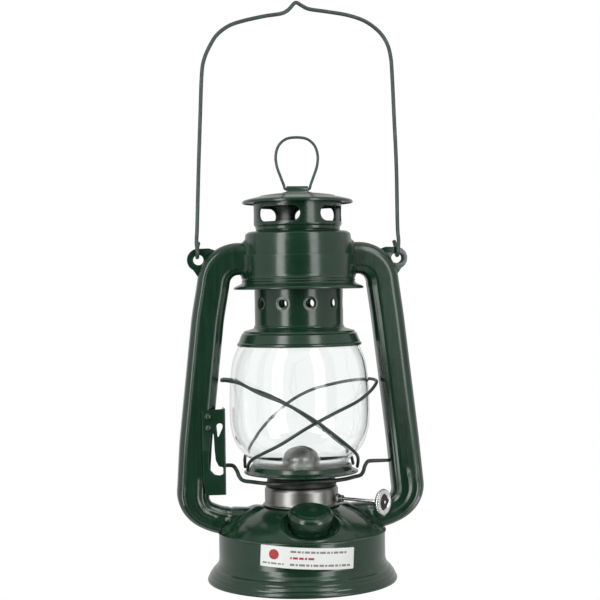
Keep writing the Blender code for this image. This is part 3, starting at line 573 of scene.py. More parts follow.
def tube_line(bow, drop):
    """Centre line of the right tube: (x, z, scale, length along the foot bend or a negative length)."""
    points = [(31.0 + 1.5 * i, TUBE_TOP) for i in range(4)]
    points += arc((37.0, 181.0), 15.0, 90, 6.3, 22)
    foot = arc((51.1, 56.35 - drop), 15.0, 6.3, FOOT_SLOPE - 90, 26)
    start = Vector(points[-1])
    end = Vector(foot[0])
    points += [tuple(start.lerp(end, i / 64)) for i in range(1, 64)]
    bend_start = len(points)
    points += foot
    for i in range(1, 25):
        slope = radians(FOOT_SLOPE - (FOOT_SLOPE - FOOT_END_SLOPE) * ease(i / 14))
        points.append((points[-1][0] - 1.2 * cos(slope), points[-1][1] - 1.2 * sin(slope)))
    lengths = [0.0]
    for before, after in zip(points, points[1:]):
        lengths.append(lengths[-1] + (Vector(after) - Vector(before)).length)
    line = []
    for i, (x, z) in enumerate(points):
        along = lengths[i] - lengths[bend_start]
        scale = 1 + (TUBE_FOOT_SCALE - 1) * ease(along / (lengths[bend_start + 26] - lengths[bend_start]))
        out = bow * ease((186 - z) / 30) * ease((z - 50) / 40)
        line.append((x + out, z, scale, along))
    return line


def tube_section():
    """(a, b, normal a, normal b) round the tube: +a is the outer side of its bends and -b the front."""
    points = []
    flat_a = TUBE_HALF_DEPTH - TUBE_CORNER
    flat_b = TUBE_HALF_WIDTH - TUBE_CORNER
    corners = ((1, 1), (-1, 1), (-1, -1), (1, -1))
    for index, (sa, sb) in enumerate(corners):
        for step in range(11):
            angle = radians(90 * index + 9 * step)
            points.append((sa * flat_a + TUBE_CORNER * cos(angle), sb * flat_b + TUBE_CORNER * sin(angle),
                           cos(angle), sin(angle)))
        na, nb = corners[(index + 1) % 4]
        straight = 14 if index % 2 == 0 else 8
        first = points[-1]
        angle = radians(90 * (index + 1))
        last = (na * flat_a + TUBE_CORNER * cos(angle), nb * flat_b + TUBE_CORNER * sin(angle))
        for step in range(1, straight):
            share = step / straight
            points.append((first[0] + (last[0] - first[0]) * share, first[1] + (last[1] - first[1]) * share,
                           first[2], first[3]))
    return points


def bead(value, width):
    """A smooth ridge of height 1 where value is 0."""
    return exp(-(value / width) ** 2)


def run_window(along, start, end, soft):
    """1 between start and end, with soft ends."""
    return ease((along - start) / soft) * ease((end - along) / soft)


def tube_relief(a, b, along):
    """Height of the pressed beads and seams of a tube."""
    face = ease((abs(b) - 3.5) / 2.5)
    height = 0.42 * bead(a - 7.4, 0.42) * face
    height -= 0.45 * bead(a + 6.6, 0.75) * face
    height += 0.60 * bead(a + 1.2, 1.6) * run_window(along, -9.0, 24.5, 2.4) * face
    height += 0.18 * bead(a - 4.2, 0.9) * run_window(along, -4.0, 22.0, 2.4) * face
    height += 1.0 * exp(-((a + 0.8) / 1.9) ** 2 - ((along - 28.6) / 1.9) ** 2) * face
    height -= 0.55 * bead(along - 33.0, 1.1)
    return height


def air_tube(name, side, replaced):
    """The left (-1) or right (1) air tube, as a hollow sheet with its pressed relief."""
    shape = bmesh.new()
    line = tube_line(1.4, 1.7) if side < 0 else tube_line(0.5, 1.0)
    section = tube_section()
    outer = []
    inner = []
    for i, (x, z, scale, along) in enumerate(line):
        behind = Vector(line[max(i - 1, 0)][:2])
        ahead = Vector(line[min(i + 1, len(line) - 1)][:2])
        run = (ahead - behind).normalized()
        out = Vector((-run.y, run.x))
        at_end = i in (0, len(line) - 1)
        rings = []
        for depth in (0.0, SHEET):
            ring = []
            for a, b, na, nb in section:
                lift = 0.0 if depth or at_end else tube_relief(a, b, along)
                pa = a * scale + na * (lift - depth)
                pb = b * scale + nb * (lift - depth)
                ring.append(shape.verts.new((side * (x + out.x * pa), pb, z + out.y * pa)))
            rings.append(ring)
        outer.append(rings[0])
        inner.append(rings[1])
    bridge(shape, outer + inner[::-1], True)
    return settle(from_bmesh(name, shape, 50), GREEN_TUBE, "frame", replaced)


def bail_ear(name, side, replaced):
    """The sheet ear outside a tube's upper bend, with the bail's hole."""
    x, z = 61.0, 195.7
    lobe = arc((x, z), 6.9, -62, 96, 22)
    root = [(x - 6.5, z + 7.0), (x - 12.0, z + 5.2), (x - 12.0, z - 5.0), (x - 3.2, z - 13.4),
            (x - 0.4, z - 11.4)]
    outline = [(side * px, pz) for px, pz in lobe + root]
    hole = arc((side * x, z), 3.1, 0, 345, 23)
    return plate(name, [outline, hole], -0.5, 0.5, GREEN, "frame", replaced, edge=0.22)


# ---------------------------------------------------------------- tank
FILLER = Matrix.Translation((0, -38.5, 47.4)) @ Matrix.Rotation(radians(17.3), 4, "X")
FILLER_BACK = FILLER.inverted()
WELL_RADIUS = 13.2          # the filler's well, round its own axis
WELL_FLOOR = -12.6
WELL_LIP = 1.5              # depth of the well's upper edge under the dome
DOME_LINE = ((50.2, 30.6), (44.0, 35.6), (37.0, 40.0), (30.0, 43.2), (25.0, 44.9), (21.5, 45.5))


def dome_height(radius):
    """Height of the dome's outer face, as a smooth line through its driving points."""
    line = DOME_LINE[::-1]
    radius = max(line[0][0], min(line[-1][0], radius))
    for i in range(len(line) - 1):
        (r0, z0), (r1, z1) = line[i], line[i + 1]
        if radius <= r1 + 1e-6:
            before = line[i - 1] if i else (2 * r0 - r1, 2 * z0 - z1 + 0.4)
            after = line[i + 2] if i + 2 < len(line) else (2 * r1 - r0, 2 * z1 - z0)
            m0 = (z1 - before[1]) / (r1 - before[0])
            m1 = (after[1] - z0) / (after[0] - r0)
            t = (radius - r0) / (r1 - r0)
            h = r1 - r0
            return (z0 * (1 + 2 * t) * (1 - t) ** 2 + m0 * h * t * (1 - t) ** 2
                    + z1 * t * t * (3 - 2 * t) + m1 * h * t * t * (t - 1))
    return line[-1][1]


def tube_boss(point):
    """How far the dome swells round the foot of each tube."""
    slope = radians(8.0)
    dx = abs(point.x) - 38.6
    dz = point.z - 36.6
    up = -dx * sin(slope) + dz * cos(slope)
    distance = box_distance(up, point.y, 8.4, 7.3, 5.0)
    return 2.2 * ease(1 - max(distance - 0.4, 0) / 3.0)


def dome_point(azimuth, radius):
    """A point on the dome's outer face, with the swelling round the tubes."""
    x, y, _ = around(azimuth, radius)
    point = Vector((x, y, dome_height(radius)))
    swell = tube_boss(point) if abs(x) > 20 else 0.0
    fade = ease((50.2 - radius) / 1.5)
    return point + Vector((x / radius * 0.5, y / radius * 0.5, 0.9)) * swell * fade


def filler_point(angle, rho, w):
    """A point given by its angle, radius and height round the filler's own axis."""
    return FILLER @ Vector((rho * cos(angle), rho * sin(angle), w))


def dome_edge(angle, rho):
    """Height in the filler's frame where a line along its axis meets the dome."""
    low, high = -16.0, 4.0
    for _ in range(24):
        w = (low + high) / 2
        point = filler_point(angle, rho, w)
        if point.z > dome_height(hypot(point.x, point.y)):
            high = w
        else:
            low = w
    return (low + high) / 2


def tank_top():
    """The dome with its rolled rim, tube bosses, the burner's opening and the filler's recess."""
    shape = bmesh.new()
    steps = 180
    window = 34                 # half the azimuth of the filler's sector, in degrees
    radii = [21.5 + 0.9 + (50.2 - 22.4) * i / 36 for i in range(37)]
    azimuths = [360 * i / steps for i in range(steps)]

    def level_rings(line):
        return [[shape.verts.new(around(azimuth, r, z)) for azimuth in azimuths] for r, z in line]

    rings = [[shape.verts.new(dome_point(azimuth, radius)) for azimuth in azimuths] for radius in radii]
    for low, high in zip(rings, rings[1:]):
        for i in range(steps):
            azimuth = 360 * (i + 0.5) / steps
            if min(azimuth, 360 - azimuth) > window:
                j = (i + 1) % steps
                shape.faces.new((low[i], low[j], high[j], high[i]))
    lip = level_rings([(20.9, 43.4), (20.9, 45.2), (21.2, 45.75), (21.8, 45.75)])
    bridge(shape, lip + [rings[0]], False)
    rim = level_rings([(50.5, 30.5), (51.2, 30.5), (51.35, 30.2), (51.3, 29.8), (50.9, 29.6)])
    bridge(shape, [rings[-1]] + rim, False)

    side = int(window / (360 / steps))
    border = [(i, radii[0]) for i in range(-side, side)]
    border += [(side, radius) for radius in radii[:-1]]
    border += [(i, radii[-1]) for i in range(side, -side, -1)]
    border += [(-side, radius) for radius in reversed(radii[1:])]
    spots = [dome_point(360 * i / steps, radius) for i, radius in border]
    seen_from_filler = [FILLER_BACK @ spot for spot in spots]
    angles = [atan2(local.y, local.x) for local in seen_from_filler]
    bands = [[shape.verts.new(spot) for spot in spots]]
    for share in (0.25, 0.5, 0.75):
        ring = []
        for spot, angle in zip(spots, angles):
            rho = 15.6 + 3.8 * cos(angle) ** 2
            target = filler_point(angle, rho, dome_edge(angle, rho))
            flat = spot.lerp(target, share)
            flat.z = dome_height(hypot(flat.x, flat.y))
            ring.append(shape.verts.new(flat))
        bands.append(ring)
    for base, wide, rise in ((15.6, 3.8, 0.0), (15.3, 3.3, 0.35), (15.0, 2.8, 0.6), (14.7, 2.3, 0.5),
                             (14.4, 1.7, -0.1), (14.1, 1.1, -0.8), (13.8, 0.5, -1.1),
                             (WELL_RADIUS, 0.0, -WELL_LIP)):
        ring = []
        for angle in angles:
            rho = base + wide * cos(angle) ** 2
            ring.append(shape.verts.new(filler_point(angle, rho, dome_edge(angle, rho) + rise)))
        bands.append(ring)
    for rho, share in ((13.15, 0.75), (13.1, 0.4), (13.0, 0.12), (12.6, 0.02), (12.0, 0.0), (10.6, 0.0),
                       (9.9, 0.0)):
        ring = []
        for angle in angles:
            w = WELL_FLOOR + (dome_edge(angle, WELL_RADIUS) - WELL_LIP - WELL_FLOOR) * share
            ring.append(shape.verts.new(filler_point(angle, rho, w)))
        bands.append(ring)
    bridge(shape, bands, False)
    bmesh.ops.remove_doubles(shape, verts=shape.verts, dist=1e-3)
    bmesh.ops.recalc_face_normals(shape, faces=shape.faces)
    shape.normal_update()
    highest = max(shape.faces, key=lambda face: face.calc_center_median().z)
    if highest.normal.z < 0:
        bmesh.ops.reverse_faces(shape, faces=shape.faces)
    thicken(shape, SHEET)
    return settle(from_bmesh("tank_dome", shape, 50), GREEN, "frame", ["tank_top"])


def tank():
    """The tank's wall, floor and top, and the filler with its cap."""
    wall = rounded([
        (54.6, 1.0), (56.2, 0.0, 0.7), (57.5, 0.2, 0.7), (57.9, 1.5, 0.8), (57.3, 2.8, 0.6),
        (56.75, 3.3, 0.4), (56.75, 4.1, 0.4), (55.9, 5.6, 0.9), (55.0, 6.3, 0.4), (54.9, 7.0, 0.4),
        (53.6, 8.4, 0.9), (52.5, 9.0, 0.4), (52.3, 9.8, 0.4), (51.2, 11.4, 1.0), (50.9, 13.2, 0.5),
        (50.7, 14.0, 0.5), (50.7, 29.3)], 4)
    lathe("tank_side", sheet_outline(wall), GREEN, "frame", ["tank_wall"], steps=180)
    pan = rounded([(49.55, 17.0), (49.55, 12.6, 1.2), (44.0, 11.0, 1.0), (36.0, 10.4, 1.0), (34.5, 9.6, 0.8),
                   (22.0, 9.4, 0.8), (20.5, 10.2, 0.8), (0, 9.6)], 4)
    flange = 12.8               # over this height the pan is a standing flange
    over = [(max(r - 0.7, 0), z) if z > flange else (r, z + 0.7) for r, z in pan]
    lathe("tank_floor", pan[::-1] + over, GREEN, "frame", ["tank_bottom"])
    tank_top()

    neck = rounded([(8.7, -16.0), (9.5, -16.0, 0.2), (9.5, -3.4, 0.3), (8.7, -3.4)], 3)
    lathe("filler_spout", neck, GREEN, "frame", ["filler_neck"], 64, place=FILLER)
    seal = rounded([(0, -3.0), (10.4, -3.0, 0.3), (10.4, -1.7, 0.3), (0, -1.7)], 3)
    lathe("filler_gasket", seal, RUBBER, "seal", ["filler_seal"], 64, place=FILLER)
    top = rounded([(0, 0.25), (8.6, 0.2, 2.0), (9.4, -0.3, 0.5), (10.4, 0.3, 0.6), (11.8, 0.0, 0.9),
                   (12.9, -1.0, 0.8), (13.2, -2.7, 0.7), (12.2, -7.6, 2.0), (11.4, -10.2, 0.6),
                   (11.25, -11.5, 0.3), (10.7, -11.8, 0.2), (10.2, -11.6, 0.2), (10.3, -10.4, 0.4),
                   (12.1, -3.2, 0.8), (11.5, -1.5, 0.6), (10.4, -1.2, 0.4), (0, -0.9)], 5)
    lathe("filler_screw_cap", top, GREEN, "cap", ["filler_cap"], 96, place=FILLER)
    ring = rounded([(19.6, 41.0), (20.6, 41.0, 0.2), (20.6, 48.0, 0.2), (19.6, 48.0, 0.2), (19.6, 41.0)], 2)
    lathe("burner_seat", ring[:-1], BURNER_DARK, "frame", ["burner_seat_ring"])


def label():
    """A plain paper label, stuck on a little crooked: a red disc and rows of dashes, with no lettering."""
    radius = 51.0
    middle = -4.2               # azimuth of its middle, in degrees
    low, high = 15.8, 28.2
    reach = 28.6                # half its width, measured round the wall
    corner = 0.8
    tilt = radians(-3.2)
    paper, ink = 0.12, 0.05     # thicknesses
    gap, shortest = 0.7, 0.6    # between dashes, and the shortest dash at a row's end
    centre = (low + high) / 2

    def crooked(outline):
        return [(x * cos(tilt) - (z - centre) * sin(tilt), centre + x * sin(tilt) + (z - centre) * cos(tilt))
                for x, z in outline]

    sheet = rounded([(-reach, low, corner), (reach, low, corner), (reach, high, corner),
                     (-reach, high, corner)], 4, closed=True)
    wrapped("label_sheet", [crooked(sheet)], radius, paper, middle, PAPER, "frame", ["label"])
    disc = arc((-20.2, centre + 1.3), 3.0, 0, 345, 23)
    wrapped("label_disc", [crooked(disc)], radius + paper, ink, middle, INK_RED, "frame")
    rows = ((-27.0, -13.2, centre - 3.9, 0.5, INK_GREY), (-10.4, 24.4, centre + 3.6, 0.62, INK_GREY),
            (-10.4, 4.0, centre - 0.1, 0.62, INK_RED), (-10.4, 26.0, centre - 3.9, 0.62, INK_GREY))
    lengths = (2.6, 1.3, 3.4, 1.9, 0.9, 2.9)
    for number, (left, right, height, tall, colour) in enumerate(rows):
        dashes = []
        start = left
        while start < right - shortest:
            end = min(right, start + lengths[(len(dashes) + 2 * number) % len(lengths)])
            dashes.append(crooked([(start, height - tall), (end, height - tall), (end, height + tall),
                                   (start, height + tall)]))
            start = end + gap
        wrapped(f"label_bar_{number + 1}", dashes, radius + paper, ink, middle, colour, "frame")


# ---------------------------------------------------------------- crown, hood and top ring
CROWN_TOP = 212.3
CROWN_STEP = 0.8            # the crown's lines are cut this fine, to swell smoothly
RING_AXIS = 238.3           # height of the finger ring's hinge


def gusset(point):
    """The crown swells into a collar round each tube, but not at its top."""
    if abs(point.x) < 18:
        return point
    distance = box_distance(point.z - TUBE_TOP, point.y, TUBE_HALF_DEPTH, TUBE_HALF_WIDTH, TUBE_CORNER)
    swell = 1.7 * ease(1 - max(distance, 0) / 2.6) * ease((CROWN_TOP - point.z - 3.4) / 2.5)
    return point + Vector((1, 0, 0)) * swell * (1 if point.x > 0 else -1)


def crown():
    """The crown's two pressings and the spring inside it."""
    wall = rounded([(32.7, 194.6), (32.7, 206.0, 2.5), (32.1, 211.0, 1.4), (30.2, CROWN_TOP, 0.8),
                    (27.0, CROWN_TOP, 0.4), (26.0, 211.9, 0.4), (25.4, 211.9)], 6)
    lathe("crown_cover", sheet_outline(subdivided(wall, CROWN_STEP)), GREEN, "frame", ["crown_upper"],
          steps=220, change=gusset)
    skirt = rounded([
        (27.8, 177.3), (37.6, 177.2, 0.6), (39.5, 177.4, 0.5), (39.75, 178.2, 0.4), (38.9, 179.1, 0.8),
        (35.4, 180.6, 1.2), (34.3, 181.7, 0.5), (34.9, 182.5, 0.4), (34.3, 183.3, 0.4), (34.8, 184.1, 0.4),
        (34.1, 185.0, 0.6), (33.8, 186.2, 0.6), (33.8, 196.4, 0.6), (33.9, 197.8)], 4)
    lathe("crown_skirt", sheet_outline(subdivided(skirt, CROWN_STEP, 185)), GREEN, "frame", ["crown_lower"],
          steps=220, change=gusset)

    turns, per_turn = 4, 40
    low, high = 185.2, 210.2
    shares = [i / (turns * per_turn) for i in range(turns * per_turn + 1)]
    coil = [around(360 * turns * share, 27.7, low + (high - low) * share) for share in shares]
    spring = wire("spring_coil", coil, 0.6, SPRING, "frame", ["hood_spring"], sides=8)
    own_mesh(spring)


def hood():
    """All that rises with the hood: bell, sleeve, vent collar, neck, cap and the ring's saddle."""
    bell = rounded([
        (36.9, 143.9), (37.0, 143.0, 0.3), (37.7, 142.9, 0.4), (38.1, 143.7, 0.4), (37.9, 144.6, 0.4),
        (37.2, 145.1, 0.3), (36.2, 147.6, 1.5), (35.2, 150.2, 0.8), (34.2, 150.9, 0.6), (33.7, 152.0, 0.5),
        (31.0, 152.7, 2.0), (28.0, 153.6, 0.8), (27.5, 154.4)], 5)
    lathe("bell_skirt", sheet_outline(bell), GREEN, "hood", ["globe_bell"], steps=160)

    low, high = 163.4, 174.0
    radius = 27.0
    bore = radius - SHEET
    upper = rounded([(radius, 180.6), (radius, 182.8, 0.8), (29.4, 183.2, 0.4), (29.4, 184.0, 0.3),
                     (25.0, 184.0, 0.2), (25.0, 183.2, 0.2), (bore, 182.2, 0.5), (bore, 180.0)], 4)
    lower = rounded([(radius, 158.0), (radius, 155.6, 0.6), (27.5, 154.9, 0.4), (27.3, 153.5, 0.3),
                     (bore, 153.5, 0.3), (bore, 156.0)], 4)
    pierced("chimney_band", [(radius, high), *upper, (bore, high)], [(radius, low), *lower, (bore, low)],
            (0.0, 2.6), 6.6, 10, GREEN, "hood", ["chimney_sleeve"], across=16, dimple=0.4)

    slot_low, slot_high = 217.9, 227.1
    low, high = slot_low - 1.2, slot_high + 1.6
    radius = 26.9
    bore = radius - SHEET
    upper = rounded([(radius, 230.0), (27.0, 231.3, 0.3), (26.6, 231.6, 0.2), (bore, 231.4, 0.2),
                     (bore, 229.6)], 3)
    lower = rounded([(radius, 216.6), (25.9, 215.2, 0.8), (25.6, 213.0, 0.2), (24.9, 213.0, 0.2),
                     (25.1, 215.4, 0.8), (bore, 216.8)], 4)
    slot_radius = (slot_high - slot_low) / 2
    reach = radius * radians(31.0) - slot_radius
    pierced("vent_band", [(radius, high), *upper, (bore, high)], [(radius, low), *lower, (bore, low)],
            (reach, slot_radius), 54.2, 4, GREEN, "hood", ["vent_collar"], across=36, tall=10, dimple=0.35)

    neck = rounded([(24.6, 180.0), (24.6, 214.5, 0.25), (23.9, 214.5, 0.25), (23.9, 180.0, 0.25),
                    (24.6, 180.0)], 3)
    lathe("neck_tube", neck[:-1], GREEN, "hood", ["hood_neck"])

    cap = rounded([
        (33.0, 229.6), (33.75, 229.55, 0.2), (33.75, 230.7, 0.5), (32.9, 231.5, 0.6), (28.0, 232.8, 2.0),
        (24.0, 233.6, 0.8), (22.6, 234.3, 0.6), (15.0, 235.4, 3.0), (10.5, 235.7, 0.8), (9.2, 236.3, 0.6),
        (0, 236.35)], 5)
    under = [(0, 235.4), (9.0, 235.3), (15.0, 234.6), (24.0, 232.8), (28.0, 232.0), (33.0, 230.3)]
    lathe("cap_roof", under + cap, GREEN, "hood", ["hood_cap"], steps=160, change=cap_beads)

    saddle = [(-4.6, 236.5), (4.6, 236.5), (4.6, 237.0), (2.4, 237.3)]
    saddle += arc((0, RING_AXIS), 1.9, -10, 190, 20) + [(-2.4, 237.3), (-4.6, 237.0)]
    hinge = arc((0, RING_AXIS), 1.15, 0, 340, 17)
    plate("ring_bridge", [rounded([(*p, 0.0) for p in saddle], 1, True), hinge], -6.6, 6.6, GREEN, "hood",
          ["ring_saddle"], edge=0.25, place=Matrix.Rotation(pi / 2, 4, "Z"))


def cap_beads(point):
    """Rows of small pressed dots on the cap's dome."""
    radius = hypot(point.x, point.y)
    if not 16.0 < radius < 22.6 or point.z < 234:
        return point
    turn = atan2(point.y, point.x)
    wave = 0.28 * max(0.0, cos(40 * turn))
    return point + Vector((0, 0, wave * bead(radius - 19.3, 2.2)))


def top_wires():
    """The finger ring on the cap, and the bail, whose two halves are bent a little differently."""
    half = [(1.0, RING_AXIS), (5.0, RING_AXIS), (6.9, RING_AXIS), (7.8, 239.0), (8.3, 240.9), (10.2, 246.0),
            (12.3, 252.0), (12.95, 258.4), (11.2, 264.6), (6.6, 268.8), (0, 269.85)]
    left = [(-x, 0, z) for x, z in half[:-1]]
    right = [(x, 0, z) for x, z in reversed(half)]
    wire("finger_ring", smooth_path(left + right), 0.85, WIRE, "top_ring", ["lifting_ring"])

    hook = [(60.4, 3.4, 206.6), (61.2, 3.4, 203.6)]
    hook += [(61.6, y, z) for y, z in arc((0, 200.65), 3.4, 360, 180, 8)]
    hook += [(62.1, -2.6, 206.5)]
    left = [(61.4, 216.0), (60.0, 251.6), (58.6, 282.0), (57.3, 308.0), (55.6, 317.4), (51.9, 325.6),
            (47.5, 332.1), (40.4, 337.4), (31.6, 340.5), (18.7, 343.5), (8.4, 345.2), (3.9, 347.6)]
    right = [(62.1, 216.0), (61.9, 251.6), (60.9, 282.0), (60.0, 308.0), (59.2, 319.5), (56.9, 328.0),
             (51.8, 335.2), (43.2, 341.3), (32.4, 344.8), (19.2, 346.8), (8.7, 348.2), (4.2, 350.3)]
    path = [(-x, y, z) for x, y, z in hook] + [(-x, 0, z) for x, z in left] + [(0.4, 0, 351.9)]
    path += [(x, 0, z) for x, z in right[::-1]] + hook[::-1]
    wire("bail_handle", smooth_path(path), 1.2, WIRE, "bail", ["bail_wire"])


# ---------------------------------------------------------------- globe and lifter
GLOBE_SHIFT = (-0.4, 0, 0)
LIFT_AXIS = 71.0            # height of the lift wire's hinge
BRACKET_SHIFT = (-1.7, 0, 1.2)


def globe():
    """The globe plate, the glass and the two guard wires."""
    rim = rounded([
        (30.0, 64.75), (30.1, 68.2, 0.3), (31.1, 66.9, 0.8), (33.6, 65.7, 0.8), (34.9, 65.6, 0.3),
        (34.9, 66.3, 0.3), (33.8, 66.5, 0.4), (31.7, 67.7, 0.8), (30.8, 69.8, 0.4), (30.3, 70.4, 0.2),
        (29.4, 70.4, 0.2), (29.2, 69.6, 0.2), (29.2, 65.4)], 4)
    outer = [(26.5, 64.7), (29.2, 64.7), *rim[1:], (26.5, 65.4)]
    inner = rounded([(15.6, 64.7), (13.6, 64.7, 0.2), (13.2, 65.05, 0.2), (13.6, 65.4, 0.2), (15.6, 65.4)], 3)
    pierced("globe_tray", outer, inner, (0.0, 1.6), 15.0, 12, GREEN, "globe_carrier", ["globe_plate"], tall=6)

    line = [(28.6, 65.8), (28.7, 68.4), (28.9, 71.0), (30.6, 74.2), (34.6, 77.8), (38.9, 83.3), (41.9, 92.0),
            (42.6, 99.0), (42.7, 106.0), (42.3, 120.0), (40.4, 134.0), (36.2, 144.2), (34.6, 147.0),
            (33.4, 149.3)]
    profile = [tuple(p)[:2] for p in smooth_path([(r, z, 0) for r, z in line], 6)]
    lathe("glass_globe", sheet_outline(profile, 1.5), GLASS, "globe_carrier", ["globe"], steps=160,
          place=Matrix.Translation(GLOBE_SHIFT))

    rise = [(-33.6, 7.0, 68.4), (-33.2, 12.6, 73.2), (-31.2, 20.4, 77.0), (-27.0, 29.0, 81.2),
            (-17.0, 40.0, 89.0), (-2.6, 44.1, 99.0), (13.0, 42.2, 107.0), (29.0, 33.6, 113.0)]
    # the last two rows lift each point of the wire's near and far side, as the real wires are bent
    guards = (("guard_left", "guard_wire_left", -1, 0.0, 47.0, 120.6,
               (0, 0, 0, -0.6, -1.8, -2.6, -3.0, -2.8, -1.6, -0.4, 0),
               (0, 0, -0.5, 0.5, 3, 5, 5.4, 4.2, 2.6, 1, 0)),
              ("guard_right", "guard_wire_right", 1, 2.2, 47.8, 122.4,
               (0, 0, 0, 0, 0.4, 1.6, 3, 3.8, 3.2, 1.4, 0),
               (0, 0, 0, 0, 0.5, 1.2, 2, 2.4, 2, 1, 0)))
    for name, node, side, spread, nose, tip, near_lift, far_lift in guards:
        line = [(x, y + spread * ease((y - 20.4) / 20), z) for x, y, z in rise]
        line += [(39.0, 23.2 + spread, tip - 3.6), (nose - 1.8, 11.0, tip - 0.8), (nose, 0.0, tip)]
        near = [(-side * x, -y, z + lift) for (x, y, z), lift in zip(line, near_lift)]
        far = [(-side * x, y, z + lift) for (x, y, z), lift in zip(line[:-1], far_lift)]
        wire(name, smooth_path(near + far[::-1], 10), 1.0, WIRE_DARK, "globe_carrier", [node])


def lifter():
    """The lift wire under the globe plate, a little lower at the left, and its thumb tab."""
    side = [(44.0, 0, LIFT_AXIS), (41.4, -0.2, LIFT_AXIS - 0.4), (39.4, -1.0, 68.0), (38.2, -2.2, 65.0),
            (36.0, -4.4, 63.0), (31.0, -9.0, 62.6), (25.0, -16.5, 62.6), (16.0, -22.4, 62.6),
            (0, -25.2, 62.6)]
    left = [(-x, y, z - 1.0 * ease((44 - x) / 8)) for x, y, z in side[:-1]]
    arm = [(-48.9, 6.4, 77.6), (-48.9, 3.2, 74.6), (-48.8, 0.8, LIFT_AXIS + 1.2), (-47.0, 0, LIFT_AXIS)]
    bar = smooth_path(arm + left + side[::-1], 8)
    wire("lift_bar", bar + [Vector((57.2, 0, LIFT_AXIS))], 1.2, WIRE_DARK, "lifter", ["lift_wire"])
    tab = rounded([(7.6, 76.0, 0.2), (8.6, 75.0, 0.3), (14.6, 79.6, 2.0), (16.2, 83.0, 0.2),
                   (15.2, 83.4, 0.2), (13.8, 80.6, 1.6), (8.2, 77.2, 0.3)], 5, closed=True)
    plate("thumb_tab", [tab], 46.6, 51.4, GREEN, "lifter", ["thumb_lever"], edge=0.3,
          place=Matrix.Rotation(pi / 2, 4, "Z"))


def bracket():
    """The lever's bracket: a sheet with a J-slot and a drop hole, its right edge folded back."""
    front = -9.8
    thick = 0.9
    fold = -46.0
    bend = 0.9                  # outer radius of the fold
    reach = 12.6                # how far back the folded edge goes
    quarter = bend * pi / 2
    right = fold + quarter + reach - bend
    rim = rounded([(-59.0, 104.0, 1.5), (fold + 1.0, 105.0, 1.0), (right, 105.0, 2.0), (right, 53.2, 2.0),
                   (-57.0, 53.2, 1.2), (-58.6, 60.0, 3.0), (-59.0, 80.0, 3.0)], 5, closed=True)
    slot = rounded([(-53.9, 90.0, 0.6), (-52.3, 90.0, 0.6), (-51.8, 80.0, 2.0), (-51.2, 74.0, 1.5),
                    (-49.4, 70.4, 1.0), (-46.6, 69.8, 1.6), (-46.4, 65.8, 1.6), (-49.0, 65.0, 1.0),
                    (-52.0, 65.6, 1.6), (-54.6, 68.6, 1.6), (-55.4, 72.4, 2.0), (-54.8, 80.0, 2.0)],
                   5, closed=True)
    drop = arc((-48.6, 94.4), 1.9, -30, 200, 14) + [(-49.9, 88.2), (-49.3, 88.2)]
    shape = flat_shape([rim, slot, drop], front, front + thick, 0.15)
    slice_x(shape, [fold + quarter * i / 6 for i in range(7)])
    for vert in shape.verts:
        along = vert.co.x - fold
        if along <= 0:
            continue
        depth = vert.co.y - front
        turn = min(along / bend, pi / 2)
        rest = max(along - quarter, 0)
        vert.co.y = front + bend - (bend - depth) * cos(turn) + rest
        vert.co.x = fold + (bend - depth) * sin(turn)
    shape.transform(Matrix.Translation(BRACKET_SHIFT))
    settle(from_bmesh("lever_plate", shape), GREEN, "frame", ["lever_bracket"])
    head = [(0, -2.0), (0.7, -1.95), (1.4, -1.6), (1.9, -1.1), (2.2, -0.6), (2.3, -0.15), (2.2, 0.0),
            (1.0, 0.0), (1.0, 3.6), (0, 3.6)]
    for name, node, x, z in (("rivet_upper", "bracket_rivet_upper", -57.3, 101.8),
                             ("rivet_lower", "bracket_rivet_lower", -57.1, 94.8)):
        lathe(name, head, GREEN, "frame", [node], 32,
              place=Matrix.Translation((x, front, z)) @ Matrix.Rotation(-pi / 2, 4, "X"))


# ---------------------------------------------------------------- burner
WICK_AZIMUTH = 48.0         # degrees from the front towards +X: the wick's width and its shaft
SHAFT_OFFSET = 4.7          # the shaft's axis, from the wick's middle plane
SHAFT_HEIGHT = 50.5
WICK_TURN = Matrix.Rotation(radians(WICK_AZIMUTH - 90), 4, "Z")
SHAFT_TURN = WICK_TURN @ Matrix.Translation((0, SHAFT_OFFSET, SHAFT_HEIGHT)) @ Matrix.Rotation(pi / 2, 4, "Y")


def burner():
    """The burner's body and the gallery under the globe plate, its steel darkened as painted shade."""
    body = rounded([(22.1, 46.0), (23.3, 45.9, 0.2), (23.6, 46.5, 0.3), (22.6, 47.2, 0.3), (22.4, 48.0, 0.4),
                    (22.4, 55.6, 0.8), (21.7, 57.2, 0.7), (20.6, 57.8, 0.4), (19.9, 57.8)], 5)
    lathe("burner_body", sheet_outline(body, 0.6), BURNER, "frame", ["burner_shell"], steps=144)
    gallery = rounded([(21.3, 57.9), (21.5, 58.4, 0.2), (21.2, 59.6, 0.5), (20.5, 62.9, 0.6),
                       (19.4, 63.6, 0.5), (17.8, 63.6)], 4)
    # the gallery's dark steel is painted shade under the globe plate above it
    lathe("burner_gallery", sheet_outline(gallery, 0.6), GALLERY_STEEL, "frame", steps=144)


